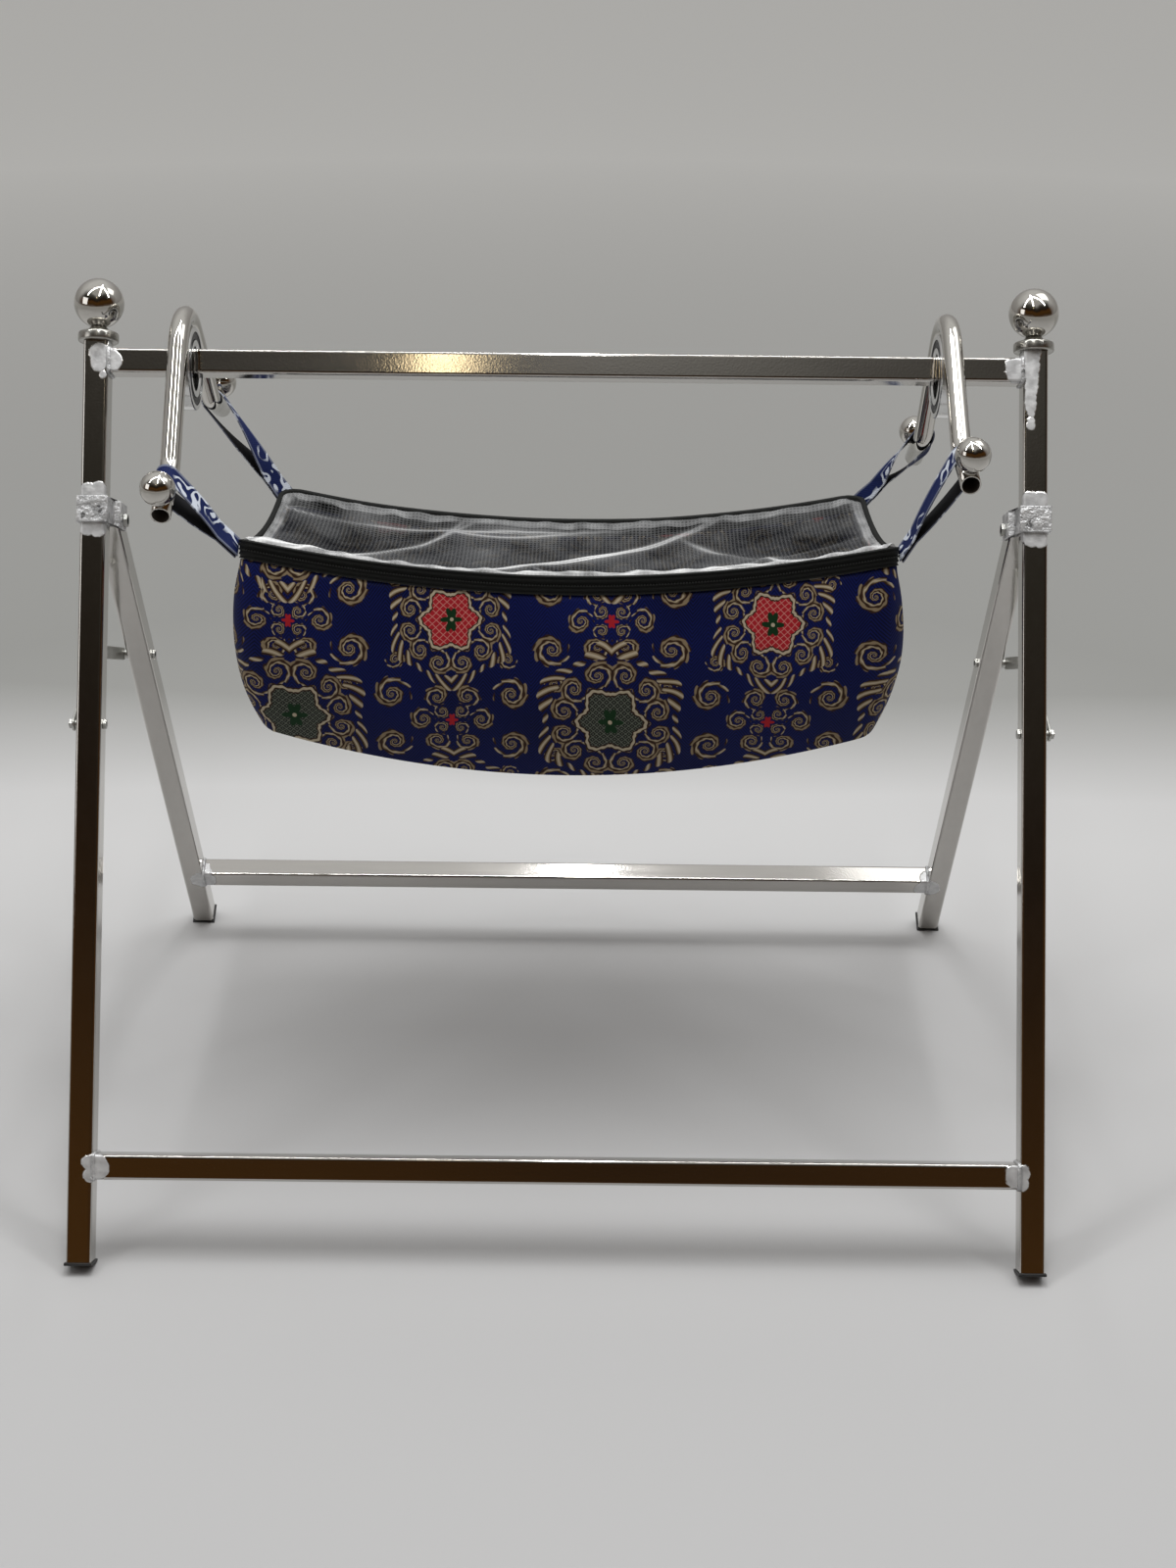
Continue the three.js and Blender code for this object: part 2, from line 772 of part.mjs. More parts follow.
function netCover() {
  const upper = [];
  const lower = [];
  for (let i = 0; i < netRings; i += 1) {
    upper.push(netRing(1 - i / netRings, 0));
    lower.push(netRing(1 - i / netRings, netThickness));
  }
  const middle = rimHeight(0, 0) - netLift - netSag + foldRise(0, 0);
  upper.push([{ x: 0, y: 0, z: middle }]);
  lower.push([{ x: 0, y: 0, z: middle - netThickness }]);
  return bowl(lower, upper);
}

// A strap: a loop round the hanger's hook that slants along the hook on its way to the basket's corner
function strapLoop(from, to, hookDown) {
  const run = to.clone().sub(from);
  const slide = run.dot(hookDown);
  const along = run.addScaledVector(hookDown, -slide);
  const reach = along.length();
  along.normalize();
  const inner = hangerTube / 2 + strapClearance;
  const outer = inner + strapThickness;
  const neck = reach - strapTab;
  const spread = Math.acos((outer - strapThickness) / neck);
  const shape = new THREE.Shape();
  shape.moveTo(reach, strapThickness);
  shape.lineTo(neck, strapThickness);
  shape.absarc(0, 0, outer, spread, 2 * Math.PI - spread, false);
  shape.lineTo(neck, -strapThickness);
  shape.lineTo(reach, -strapThickness);
  const opening = new THREE.Path();
  opening.moveTo(neck - strapThickness, 0);
  opening.absarc(0, 0, inner, spread, 2 * Math.PI - spread, false);
  shape.holes.push(opening);
  const geometry = extruded(shape, strapWidth, strapArcSteps);
  geometry.translate(0, 0, -strapWidth / 2);
  const up = new THREE.Vector3().crossVectors(hookDown, along);
  const slanted = along.clone().addScaledVector(hookDown, slide / reach);
  geometry.applyMatrix4(new THREE.Matrix4().makeBasis(slanted, up, hookDown).setPosition(from));
  return geometry;
}

// Front frame
place(frontFrame, 'top_rail', railTube(standWidth - 2 * (tubeSide + gap)), steel, 0, 0, topRailHeight);
place(frontFrame, 'front_lower_rail', railTube(standWidth - 2 * (tubeSide + gap)), steel, 0, 0, frontRailHeight);
const stayBoltHeight = pivotHeight - stayBoltDrop;
const boltHoleTool = bar(stayBoltRadius + boltHole, -tubeSide, tubeSide, boltShankSides);
boltHoleTool.translate(0, 0, stayBoltHeight);
const stayPlaneRear = standWidth / 2 + gap + stayThickness / 2;
const stayPlaneFront = stayPlaneRear + stayThickness + gap;

for (const { name, sign } of sides) {
  const x = sign * postX;
  place(frontFrame, `front_post_${name}`, cut(squareTube(postLength), boltHoleTool), steel, x);
  place(frontFrame, `front_foot_plug_${name}`, footPlug(postLean, 1), blackPlastic, x);
  place(frontFrame, `post_cap_${name}`, postCap(), steel, x, 0, postLength + gap);
  const seat = finialRadius * cos(Math.asin(finialSeatRadius / finialRadius));
  const ballHeight = postLength + capThickness + neckLength + 2 * gap + seat;
  place(frontFrame, `finial_ball_${name}`, finialBall(), steel, x, 0, ballHeight);
  place(frontFrame, `pivot_clamp_${name}`, clampStrap(sign), paintedSteel, x, 0, pivotHeight);

  // Bolt through the post, with a spacer that holds the front link off it
  const innerFace = postX - half - gap;
  const spacerFrom = standWidth / 2 + gap;
  const spacerTo = stayPlaneFront - stayThickness / 2 - gap;
  const headFace = stayPlaneFront + stayThickness / 2 + gap;
  const spacer = bar(stayBoltRadius * boltHeadRadiusShare, spacerFrom, spacerTo, boltShankSides);
  const postBolt = joined(bolt(stayBoltRadius, innerFace, headFace), spacer);
  if (sign < 0) postBolt.rotateZ(Math.PI);
  place(frontFrame, `stay_bolt_post_${name}`, postBolt, zincSteel, 0, 0, stayBoltHeight);

  // Pivot bolt through both ears and the leg
  const earOut = legX + half + gap + clampThickness + gap;
  const earIn = legX - half - gap - clampThickness - gap;
  const pivotBolt = bolt(pivotBoltRadius, earIn, earOut);
  if (sign < 0) pivotBolt.rotateZ(Math.PI);
  place(frontFrame, `pivot_bolt_${name}`, pivotBolt, zincSteel, 0, pivotSetback, pivotHeight);
}

// Back frame
place(backFrame, 'back_rail', railTube(2 * (legX - half - gap)), steel, 0, 0, backRailHeight - legLength);
for (const { name, sign } of sides) {
  const x = sign * legX;
  const leg = squareTube(legLength + legTopReach);
  leg.translate(0, 0, -legLength);
  const pivotHole = bar(pivotBoltRadius + boltHole, -tubeSide, tubeSide, boltShankSides);
  const legBoltHole = bar(stayBoltRadius + boltHole, -tubeSide, tubeSide, boltShankSides);
  legBoltHole.translate(0, 0, -stayBoltDrop);
  place(backFrame, `back_leg_${name}`, cut(leg, pivotHole, legBoltHole), steel, x);
  place(backFrame, `back_foot_plug_${name}`, footPlug(legLean, -1), blackPlastic, x, 0, -legLength);
  const topRoom = bar(pivotBoltRadius + boltHole, -tubeSide, tubeSide, boltShankSides);
  topRoom.translate(0, 0, -legTopReach);
  place(backFrame, `leg_top_plug_${name}`, cut(topPlug(), topRoom), blackPlastic, x, 0, legTopReach);

  const innerFace = legX - half - gap;
  const spacerFrom = legX + half + gap;
  const spacerTo = stayPlaneRear - stayThickness / 2 - gap;
  const headFace = stayPlaneRear + stayThickness / 2 + gap;
  const spacer = bar(stayBoltRadius * boltHeadRadiusShare, spacerFrom, spacerTo, boltShankSides);
  const legBolt = joined(bolt(stayBoltRadius, innerFace, headFace), spacer);
  if (sign < 0) legBolt.rotateZ(Math.PI);
  place(backFrame, `stay_bolt_leg_${name}`, legBolt, zincSteel, 0, 0, -stayBoltDrop);
}

// Stays: both bolts and the raised rivet between them
const postBoltPoint = frontPoint(0, stayBoltHeight);
const postBoltY = postBoltPoint.y + footY;
const legBoltY = pivot.y + stayBoltDrop * sin(legLean);
const legBoltZ = pivot.z - stayBoltDrop * cos(legLean);
const boltRunY = legBoltY - postBoltY;
const boltRunZ = legBoltZ - postBoltPoint.z;
const boltRun = Math.hypot(boltRunY, boltRunZ);
const stayReach = Math.hypot(boltRun / 2, stayKneeRise);
const rivetY = (postBoltY + legBoltY) / 2 - (stayKneeRise * boltRunZ) / boltRun;
const rivetZ = (postBoltPoint.z + legBoltZ) / 2 + (stayKneeRise * boltRunY) / boltRun;
const boltFit = stayBoltRadius + boltHole;

for (const { name, sign } of sides) {
  const frontTurn = Math.atan2(rivetZ - postBoltPoint.z, rivetY - postBoltY) - Math.PI / 2;
  const rearTurn = Math.atan2(rivetZ - legBoltZ, rivetY - legBoltY) - Math.PI / 2;
  const linkUp = new THREE.Group();
  linkUp.position.set(sign * stayPlaneFront, postBoltY, postBoltPoint.z);
  linkUp.rotation.x = frontTurn;
  const linkDown = new THREE.Group();
  linkDown.position.set(sign * stayPlaneRear, legBoltY, legBoltZ);
  linkDown.rotation.x = rearTurn;
  cradle.add(linkUp, linkDown);
  place(linkUp, `stay_front_link_${name}`, stayLink(boltFit, stayRivetRadius + gap, stayThickness), zincSteel);
  place(linkDown, `stay_rear_link_${name}`, stayLink(boltFit, stayRivetRadius + gap, stayThickness), zincSteel);
  const rivet = stayRivet();
  if (sign < 0) rivet.rotateZ(Math.PI);
  place(linkUp, `stay_rivet_${name}`, rivet, zincSteel, 0, 0, stayReach);
}

// Swinging part: bearings, hangers, basket and straps
const turns = { left: hangerTurnLeft, right: hangerTurnRight };
const bandRoom = zipBand(strapClearance);
for (const { name, sign } of sides) {
  const x = sign * bearingX;
  place(swing, `bearing_inner_ring_${name}`, innerRing(), bearingSteel, x);
  place(swing, `bearing_outer_ring_${name}`, outerRing(), bearingSteel, x);
  place(swing, `bearing_seal_outer_${name}`, bearingSeal(), sealRubber, x).rotation.y = sign < 0 ? Math.PI : 0;
  place(swing, `bearing_seal_inner_${name}`, bearingSeal(), sealRubber, x).rotation.y = sign < 0 ? 0 : Math.PI;
  place(swing, `bearing_ball_cage_${name}`, ballCage(), bearingSteel, x);

  const hanger = new THREE.Group();
  hanger.position.set(x, 0, 0);
  hanger.rotation.x = turns[name];
  hanger.updateMatrix();
  swing.add(hanger);
  place(hanger, `hanger_${name}`, hangerGeometry(0), steel);
  const hangerRoom = hangerGeometry(strapClearance);
  hangerRoom.applyMatrix4(hanger.matrix);

  for (const [where, side] of [['front', -1], ['rear', 1]]) {
    const hook = hookPoints(side);
    const ball = new THREE.SphereGeometry(hookBallRadius, hookBallSegments, hookBallSegments / 2);
    ball.rotateX(Math.atan2(hook.up.z, hook.up.y));
    place(hanger, `hook_ball_${where}_${name}`, ball, steel, hook.ball.x, hook.ball.y, hook.ball.z);
    const from = hook.strapPoint.clone().applyMatrix4(hanger.matrix);
    const hookDown = hook.hookDown.clone().transformDirection(hanger.matrix);
    const endX = sign * basketReachX;
    const endY = side * (basketReachY - basketCorner);
    const outset = sign * (bandOverhang + strapClearance);
    const to = new THREE.Vector3(endX + outset + basketShift, endY, rimHeight(endX, endY) - bandHeight / 2);
    const strap = cut(strapLoop(from, to, hookDown), hangerRoom, bandRoom);
    place(swing, `strap_${where}_${name}`, strap, strapCloth);
  }
}
place(swing, 'basket_shell', basketShell(), printedCloth);
place(swing, 'zip_band', zipBand(0), zipTape);
place(swing, 'net_cover', netCover(), whiteNet);

// The zip's slider, on the outside of the band near the back right corner
const sliderX = sliderPlaceShare * basketReachX;
const sliderY = basketReachY + bandOverhang + gap + sliderThickness / 2;
const sliderZ = rimHeight(sliderX, basketReachY) - bandHeight / 2;
const sliderShape = roundedSquare(new THREE.Shape(), sliderHeight / 2, sliderHeight / 4);
const slider = extruded(sliderShape, sliderThickness, 3);
slider.translate(0, 0, -sliderThickness / 2);
slider.scale(sliderLength / sliderHeight, 1, 1);
slider.rotateX(Math.PI / 2);
place(swing, 'zip_slider', slider, zincSteel, sliderX + basketShift, sliderY, sliderZ);

export default cradle;
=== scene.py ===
import json
from math import acos, asin, atan2, cos, e, exp, hypot, pi, radians, sin, tan, tau

import bmesh
import bpy
from mathutils import Matrix, Vector, noise


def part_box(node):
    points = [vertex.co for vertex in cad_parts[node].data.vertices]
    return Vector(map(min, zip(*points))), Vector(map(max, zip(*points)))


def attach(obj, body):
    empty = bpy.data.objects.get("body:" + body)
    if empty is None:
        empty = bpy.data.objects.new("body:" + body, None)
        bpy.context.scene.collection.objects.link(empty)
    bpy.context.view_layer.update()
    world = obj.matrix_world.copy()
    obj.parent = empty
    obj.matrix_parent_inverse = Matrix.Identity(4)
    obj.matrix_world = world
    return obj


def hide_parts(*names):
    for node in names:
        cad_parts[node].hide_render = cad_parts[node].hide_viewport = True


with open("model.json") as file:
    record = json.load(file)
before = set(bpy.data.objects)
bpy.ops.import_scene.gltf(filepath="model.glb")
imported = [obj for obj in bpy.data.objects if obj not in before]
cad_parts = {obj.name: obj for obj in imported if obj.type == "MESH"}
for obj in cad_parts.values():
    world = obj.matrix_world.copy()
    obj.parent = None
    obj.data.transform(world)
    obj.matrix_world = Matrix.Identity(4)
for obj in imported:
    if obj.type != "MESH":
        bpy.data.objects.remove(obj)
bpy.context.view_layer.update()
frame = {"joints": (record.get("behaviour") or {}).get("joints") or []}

scene = bpy.context.scene
joints = {joint["name"]: Vector(joint["pos_m"]) for joint in frame["joints"]}
pivot, swingAxis = joints["fold"], joints["swing"]


# Camera, as the photograph was taken
shot = {"place": (0.0289, -2.13, 1.3924), "down": 25.55, "turn": -0.04, "roll": 0.62, "lens": 49.9, "sensor": 36}


def makeCamera():
    down, turn, roll = (radians(shot[k]) for k in ("down", "turn", "roll"))
    ahead = Vector((sin(turn) * cos(down), cos(turn) * cos(down), -sin(down)))
    right = Vector((cos(turn), -sin(turn), 0))
    up = right.cross(ahead)
    tiltedRight = right * cos(roll) + up * sin(roll)
    tiltedUp = up * cos(roll) - right * sin(roll)
    data = bpy.data.cameras.new("photoCamera")
    data.lens, data.sensor_width = shot["lens"], shot["sensor"]
    data.clip_start, data.clip_end = 0.05, 60
    camera = bpy.data.objects.new("photoCamera", data)
    turned = Matrix((tiltedRight, tiltedUp, -ahead)).transposed().to_4x4()
    camera.matrix_world = Matrix.Translation(shot["place"]) @ turned
    scene.collection.objects.link(camera)
    scene.camera = camera


makeCamera()
print("camera ready")


# Small helpers for node trees
class Wire:
    # a socket that can be used in sums
    def __init__(self, desk, socket):
        self.desk, self.socket = desk, socket

    def math(self, operation, *others):
        return self.desk.make("ShaderNodeMath", {"operation": operation}, [self, *others])

    def __add__(self, other):
        return self.math("ADD", other)

    __radd__ = __add__

    def __sub__(self, other):
        return self.math("SUBTRACT", other)

    def __rsub__(self, other):
        return self.desk.make("ShaderNodeMath", {"operation": "SUBTRACT"}, [other, self])

    def __mul__(self, other):
        return self.math("MULTIPLY", other)

    __rmul__ = __mul__

    def __truediv__(self, other):
        return self.math("DIVIDE", other)

    def __abs__(self):
        return self.math("ABSOLUTE")

    def clamped(self):
        return self.desk.make("ShaderNodeClamp", {}, [self, 0.0, 1.0])

    def centred(self):
        # the distance from the middle of each whole step
        return self.math("FRACT") - 0.5


class NodeDesk:
    # makes nodes in one tree from a type, its settings and its inputs
    def __init__(self, tree):
        self.tree = tree

    def fill(self, socket, value):
        if isinstance(value, Wire):
            self.tree.links.new(value.socket, socket)
        elif value is not None:
            socket.default_value = (*value, 1) if socket.type == "RGBA" else value

    def node(self, kind, settings=None, inputs=None):
        made = self.tree.nodes.new(kind)
        for key, value in (settings or {}).items():
            if key == "stops":
                ramp = made.color_ramp.elements
                while len(ramp) < len(value):
                    ramp.new(0.5)
                for stop, (place, colour) in zip(ramp, value):
                    stop.position, stop.color = place, (*colour, 1)
            else:
                setattr(made, key, value)
        for key, value in inputs.items() if isinstance(inputs, dict) else enumerate(inputs or []):
            self.fill(made.inputs[key], value)
        return made

    def make(self, kind, settings=None, inputs=None, out=0):
        return Wire(self, self.node(kind, settings, inputs).outputs[out])

    def mix(self, share, low, high):
        return self.make("ShaderNodeMix", {"data_type": "RGBA"}, {0: share, 6: low, 7: high}, 2)

    def parts(self, vector):
        made = self.node("ShaderNodeSeparateXYZ", {}, [vector])
        return [Wire(self, made.outputs[i]) for i in range(3)]


class Finish(NodeDesk):
    # a material with its main shader ready
    def __init__(self, name, **fixed):
        self.material = bpy.data.materials.new(name)
        self.material.use_nodes = True
        super().__init__(self.material.node_tree)
        self.shader = self.tree.nodes["Principled BSDF"]
        for key, value in fixed.items():
            self.shader.inputs[key.replace("_", " ")].default_value = value
        self.place = self.make("ShaderNodeTexCoord", out="Object")

    def feed(self, name, value):
        self.fill(self.shader.inputs[name], value)

    def noise(self, scale, detail=2.0, vector=None, roughness=0.5, out="Fac"):
        inputs = {"Vector": vector or self.place, "Scale": scale, "Detail": detail, "Roughness": roughness}
        return self.make("ShaderNodeTexNoise", {}, inputs, out)

    def done(self, colour, roughness, height, strength, distance, **more):
        # the material, with its colour, roughness and bumps
        for name, wire in {"Base Color": colour, "Roughness": roughness, **more}.items():
            self.feed(name, wire)
        inputs = {"Strength": strength, "Distance": distance, "Height": height}
        self.feed("Normal", self.make("ShaderNodeBump", {}, inputs))
        return self.material

    def clothPlace(self):
        u, v, _ = self.parts(self.make("ShaderNodeUVMap", {"uv_map": "clothMap"}))
        return u, v, self.make("ShaderNodeCombineXYZ", {}, [u, v, 0.0])


def stroke(wire, reach, soft):
    # 1 where the wire is under its reach
    return ((reach - wire) / soft).clamped()


# Places on the stand, in the frame's own directions
stand = {
    "lean": radians(27.6), "setback": 0.036, "pivotHeight": 0.756, "tube": 0.0254, "wall": 0.0015,
    "corner": 0.003, "postX": 0.4788, "legX": 0.4728, "post": 0.933, "topRail": 0.9129, "lowRail": 0.0954,
    "leg": 0.73718, "legTop": 0.012, "backRail": 0.64298, "stayDrop": 0.214, "gap": 0.0003,
}
tubeHalf, gap = stand["tube"] / 2, stand["gap"]
postBack = Vector((0, cos(stand["lean"]), -sin(stand["lean"])))
postUp = Vector((0, sin(stand["lean"]), cos(stand["lean"])))
legOut = Vector((0, cos(stand["lean"]), sin(stand["lean"])))
legUp = Vector((0, -sin(stand["lean"]), cos(stand["lean"])))
sideways = Vector((1, 0, 0))
frontFoot = pivot - postBack * stand["setback"] - postUp * stand["pivotHeight"]
sides = (("left", -1), ("right", 1))


def onPost(x, back, up):
    return frontFoot + sideways * x + postBack * back + postUp * up


def onLeg(x, out, up):
    return pivot + sideways * x + legOut * out + legUp * up


# Metal finishes, with silver paint on the tubes: each spot has a place and a reach, and the drip is a run of spots
drip = {"spots": 14, "x": 0.4755, "inward": 0.002, "top": 0.93, "fall": 0.074, "reach": 0.0098, "taper": 0.005}
paint = {
    "face": [
        (-0.476, 0.921, 0.01), (-0.475, 0.909, 0.01), (-0.4705, 0.898, 0.0055), (-0.4625, 0.9129, 0.0115),
        *((drip["x"] - drip["inward"] * t, drip["top"] - drip["fall"] * t, drip["reach"] - drip["taper"] * t)
          for t in (i / (drip["spots"] - 1) for i in range(drip["spots"]))),
        (0.4605, 0.9129, 0.0135),
        *((side * x, up, 0.0115) for side in (-1, 1) for x in (0.4735, 0.4845) for up in (0.777, 0.743)),
        *((side * x, up, reach) for side in (-1, 1) for x, up, reach in
          ((0.469, 0.1, 0.0085), (0.468, 0.088, 0.008), (0.4615, 0.0954, 0.0125))),
    ],
    "railEnd": (0.4625, 0.9256, 0.012), "backEnd": (0.46, -0.006, -0.643, 0.018),
    "ragged": 0.01, "raggedScale": 55.0, "edge": 0.0012, "lumps": 110.0, "metal": 0.4, "bump": (0.6, 0.0006),
    "low": (0.38, 0.385, 0.39), "colour": (0.86, 0.865, 0.87),
}
paintSpots = [(onPost(x, -tubeHalf, up), reach) for x, up, reach in paint["face"]]
for side in (-1, 1):
    x, up, reach = paint["railEnd"]
    paintSpots.append((onPost(side * x, 0, up), reach))
    x, out, up, reach = paint["backEnd"]
    paintSpots.append((onLeg(side * x, out, up), reach))

steel = {
    "cloud": 7.0, "cloudBlur": 0.06, "cloudShare": 0.6, "streak": 130.0, "streakBlur": 0.05, "streakShare": 0.4,
    "dark": 0.8, "grain": 500.0, "grainHigh": 0.08, "bump": (0.15, 0.0002),
}


def steelFinish(name, colour, rough, painted=False, streak=(1.0, 1.0, 0.08)):
    made = Finish(name, Metallic=1.0)
    stretched = made.make("ShaderNodeVectorMath", {"operation": "MULTIPLY"}, [made.place, streak])
    cloud, streaks = made.noise(steel["cloud"], 3.0), made.noise(steel["streak"], 2.0, stretched)
    roughness = cloud * steel["cloudBlur"] + streaks * steel["streakBlur"] + rough
    share = cloud * steel["cloudShare"] + streaks * steel["streakShare"]
    metal = made.mix(share, tuple(c * steel["dark"] for c in colour), colour)
    grain = made.noise(steel["grain"], 1.0) * steel["grainHigh"]
    if not painted:
        return made.done(metal, roughness, grain, *steel["bump"])
    ragged = (made.noise(paint["raggedScale"], 3.0) - 0.5) * paint["ragged"]
    mask = None
    for spot, reach in paintSpots:
        away = made.make("ShaderNodeVectorMath", {"operation": "DISTANCE"}, [made.place, tuple(spot)], "Value")
        here = (reach - away + ragged) / paint["edge"]
        mask = here if mask is None else mask.math("MAXIMUM", here)
    mask = mask.clamped()
    bare, lumps = 1 - mask, made.noise(paint["lumps"], 3.0)
    colour = made.mix(mask, metal, made.mix(lumps, paint["low"], paint["colour"]))
    roughness = roughness * bare + mask * (0.24 + lumps * 0.3)
    height = grain * bare + mask * (lumps * 2 + 1.5)
    return made.done(colour, roughness, height, *paint["bump"], Metallic=1 - mask * (1 - paint["metal"]))


def silverPaintFinish():
    made = Finish("silverPaint")
    cloud, grain = made.noise(paint["raggedScale"], 4.0, None, 0.65), made.noise(240.0, 3.0)
    pits = stroke(made.noise(120.0, 2.0), 0.36, 0.05)
    silver = made.mix((cloud * 2.4 - 0.7).clamped(), (0.26, 0.265, 0.27), (0.8, 0.805, 0.81))
    colour, height = made.mix(pits * 0.8, silver, (0.1, 0.1, 0.1)), grain + cloud * 5 - pits * 2
    return made.done(colour, 0.22 + grain * 0.35, height, 0.9, 0.0009, Metallic=0.3 + cloud * 0.35)


def plainFinish(name, low, high, rough, scale, depth, shine=0.5, metallic=0.0, spread=0.2, strength=0.4):
    made = Finish(name, Specular_IOR_Level=shine, Metallic=metallic)
    grain = made.noise(scale, 3.0)
    return made.done(made.mix(grain, low, high), grain * spread + rough, grain, strength, depth)


tubeSteel = steelFinish("polishedPost", (0.58, 0.56, 0.53), 0.05, True)
railSteel = steelFinish("polishedRail", (0.58, 0.56, 0.53), 0.025, True, (0.08, 1.0, 1.0))
brightSteel = steelFinish("brightSteel", (0.6, 0.58, 0.54), 0.02)
capSteel = steelFinish("brushedCap", (0.42, 0.41, 0.38), 0.2)
bearingSteel = steelFinish("groundSteel", (0.74, 0.74, 0.73), 0.1)
silverPaint = silverPaintFinish()
zincPlate = plainFinish("zincPlate", (0.36, 0.36, 0.34), (0.6, 0.6, 0.57), 0.28, 90.0, 0.0002, 0.5, 1.0, 0.25, 0.25)
blackPlastic = plainFinish("blackPlastic", (0.01, 0.01, 0.01), (0.03, 0.03, 0.03), 0.45, 300.0, 0.0002)
sealRubber = plainFinish("sealRubber", (0.012, 0.012, 0.013), (0.026, 0.026, 0.028), 0.35, 260.0, 0.0001)
# the hanger tube's bore is painted near-black brown: painted shade inside the tube
tubeBoreShade = plainFinish("tubeBoreShade", (0.01, 0.008, 0.006), (0.045, 0.035, 0.025), 0.6, 120.0, 0.0004)
zipTape = plainFinish("zipTape", (0.003, 0.0035, 0.003), (0.012, 0.013, 0.012), 0.6, 700.0, 0.0003, 0.18)
zipTeeth = plainFinish("zipTeeth", (0.006, 0.007, 0.006), (0.022, 0.024, 0.022), 0.3, 400.0, 0.0001, 0.35)
webBack = plainFinish("webbingBack", (0.006, 0.006, 0.008), (0.02, 0.02, 0.024), 0.7, 900.0, 0.0004, 0.2)
print("metal, plastic and tape finishes ready")


# Printed cloth: a scroll-and-lattice print drawn in metres on the cloth's own map
cloth = {
    "column": 0.16057, "drop": 0.214, "big": 0.92, "small": 0.76, "field": 0.034, "lobes": 0.13, "warp": 0.006,
    "lattice": 0.0072, "petal": 0.0105, "bud": 0.0052, "ring": (0.053, 6, 0.0155), "fan": 0.0745, "fanWide": 0.009,
    "sprigs": ((0.03, 3, 0.0125), (0.0135, 2, 0.008)), "arms": ((0.06, 0.078, 0.0185), (0.056, 0.04, 0.01)),
    "navy": (0.001, 0.002, 0.018), "blue": (0.005, 0.0125, 0.135), "gold": (0.27, 0.205, 0.125),
    "pale": (0.5, 0.43, 0.31), "brown": (0.034, 0.015, 0.008), "red": (0.42, 0.016, 0.025),
    "pink": (0.62, 0.25, 0.22), "green": (0.17, 0.19, 0.15), "ash": (0.022, 0.025, 0.021),
    # inside is a near-black that painted shade darkens the cloth towards
    "leafGreen": (0.006, 0.034, 0.01), "inside": (0.002, 0.002, 0.006), "rib": 0.004, "zigzag": 0.032114,
    "line": 0.0005, "soft": 0.0006, "eye": 0.0026, "weave": 1500.0, "bump": (0.35, 0.0004),
    "scroll": ((0.4, 0.34, 0.03, "brown"), (0.56, 0.1, 0.04, "gold"), (0.24, 0.11, 0.04, "gold"),
               (0.23, 0.05, 0.03, "pale")),
    "blade": ((0.0, 0.8, 0.2, "brown"), (0.75, 0.55, 0.15, "gold"), (0.95, 0.18, 0.1, "pale")),
    "rim": ((0.0038, "brown"), (0.0019, "pale")),
}


def layered(made, colour, layers):
    # paints each named colour over the last, where its mask says
    for mask, name in layers:
        colour = made.mix(mask, colour, cloth[name])
    return colour


def strands(made, colour, inside, way, rows):
    # strokes across one way of a motif: where each lies, how wide and soft it is, and its colour
    return layered(made, colour, [(inside * stroke(abs(way - at), wide, soft), name) for at, wide, soft, name in rows])


def scrollWork(made, colour, along, out, size):
    # one scroll in its own cell: a leafy strand that winds in
    reach = (along * along + out * out).math("SQRT")
    swirl = out.math("ARCTAN2", along)
    leafy = (swirl * 9 + reach * 700).math("SINE")
    phase = (swirl / tau + (reach + 0.0008).math("LOGARITHM", e) * 0.85 + leafy * 0.035).math("FRACT")
    inside = stroke(reach, size * (1 + leafy * 0.08), cloth["line"])
    return strands(made, colour, inside, phase, cloth["scroll"])


def scrollRing(made, colour, radius, angle, ring, number, size):
    # scrolls round a ring, mirrored from one to the next
    turn = (angle / pi + 0.5) * number
    hand = turn.math("FLOOR").math("FLOORED_MODULO", 2.0) * 2 - 1
    return scrollWork(made, colour, turn.centred() * (pi / number * ring) * hand, radius - ring, size)


def leafFan(made, colour, radius, angle, tufts):
    # tufts of curved blades outside the scrolls
    tuft = (angle * tufts).math("COSINE")
    blade = (angle * (tufts * 5) + tuft * 1.5 + radius * 420).math("SINE")
    wide = cloth["fanWide"] * (0.62 - tuft * 0.38) + blade * 0.0012
    inside = stroke(abs(radius - cloth["fan"] + tuft * 0.003), wide, cloth["soft"])
    return strands(made, colour, inside, blade, cloth["blade"])


def flower(radius, angle, size, depth, soft):
    # a bloom of five petals
    return stroke(radius, (1 + (angle * 5).math("COSINE") * depth) * size, soft)


def latticeField(made, x, y, odd, radius, angle):
    # a lattice inside each medallion, red or grey-green by column, with a bloom in its middle
    lineA, lineB = (abs((way / cloth["lattice"]).centred()) for way in (x + y, x - y))
    lines = ((lineA.math("MAXIMUM", lineB) - 0.4) * 14).clamped()
    dots = stroke(lineA * lineA + lineB * lineB, 0.022, 0.01) * (1 - odd)
    ground = made.mix(odd, cloth["ash"], cloth["red"])
    thread = made.mix(odd, cloth["green"], cloth["pink"])
    return layered(made, made.mix(lines.math("MAXIMUM", dots), ground, thread), [
        (flower(radius, angle, cloth["petal"], 0.4, cloth["soft"]), "leafGreen"),
        (stroke(radius, cloth["eye"], cloth["line"]), "pale")])


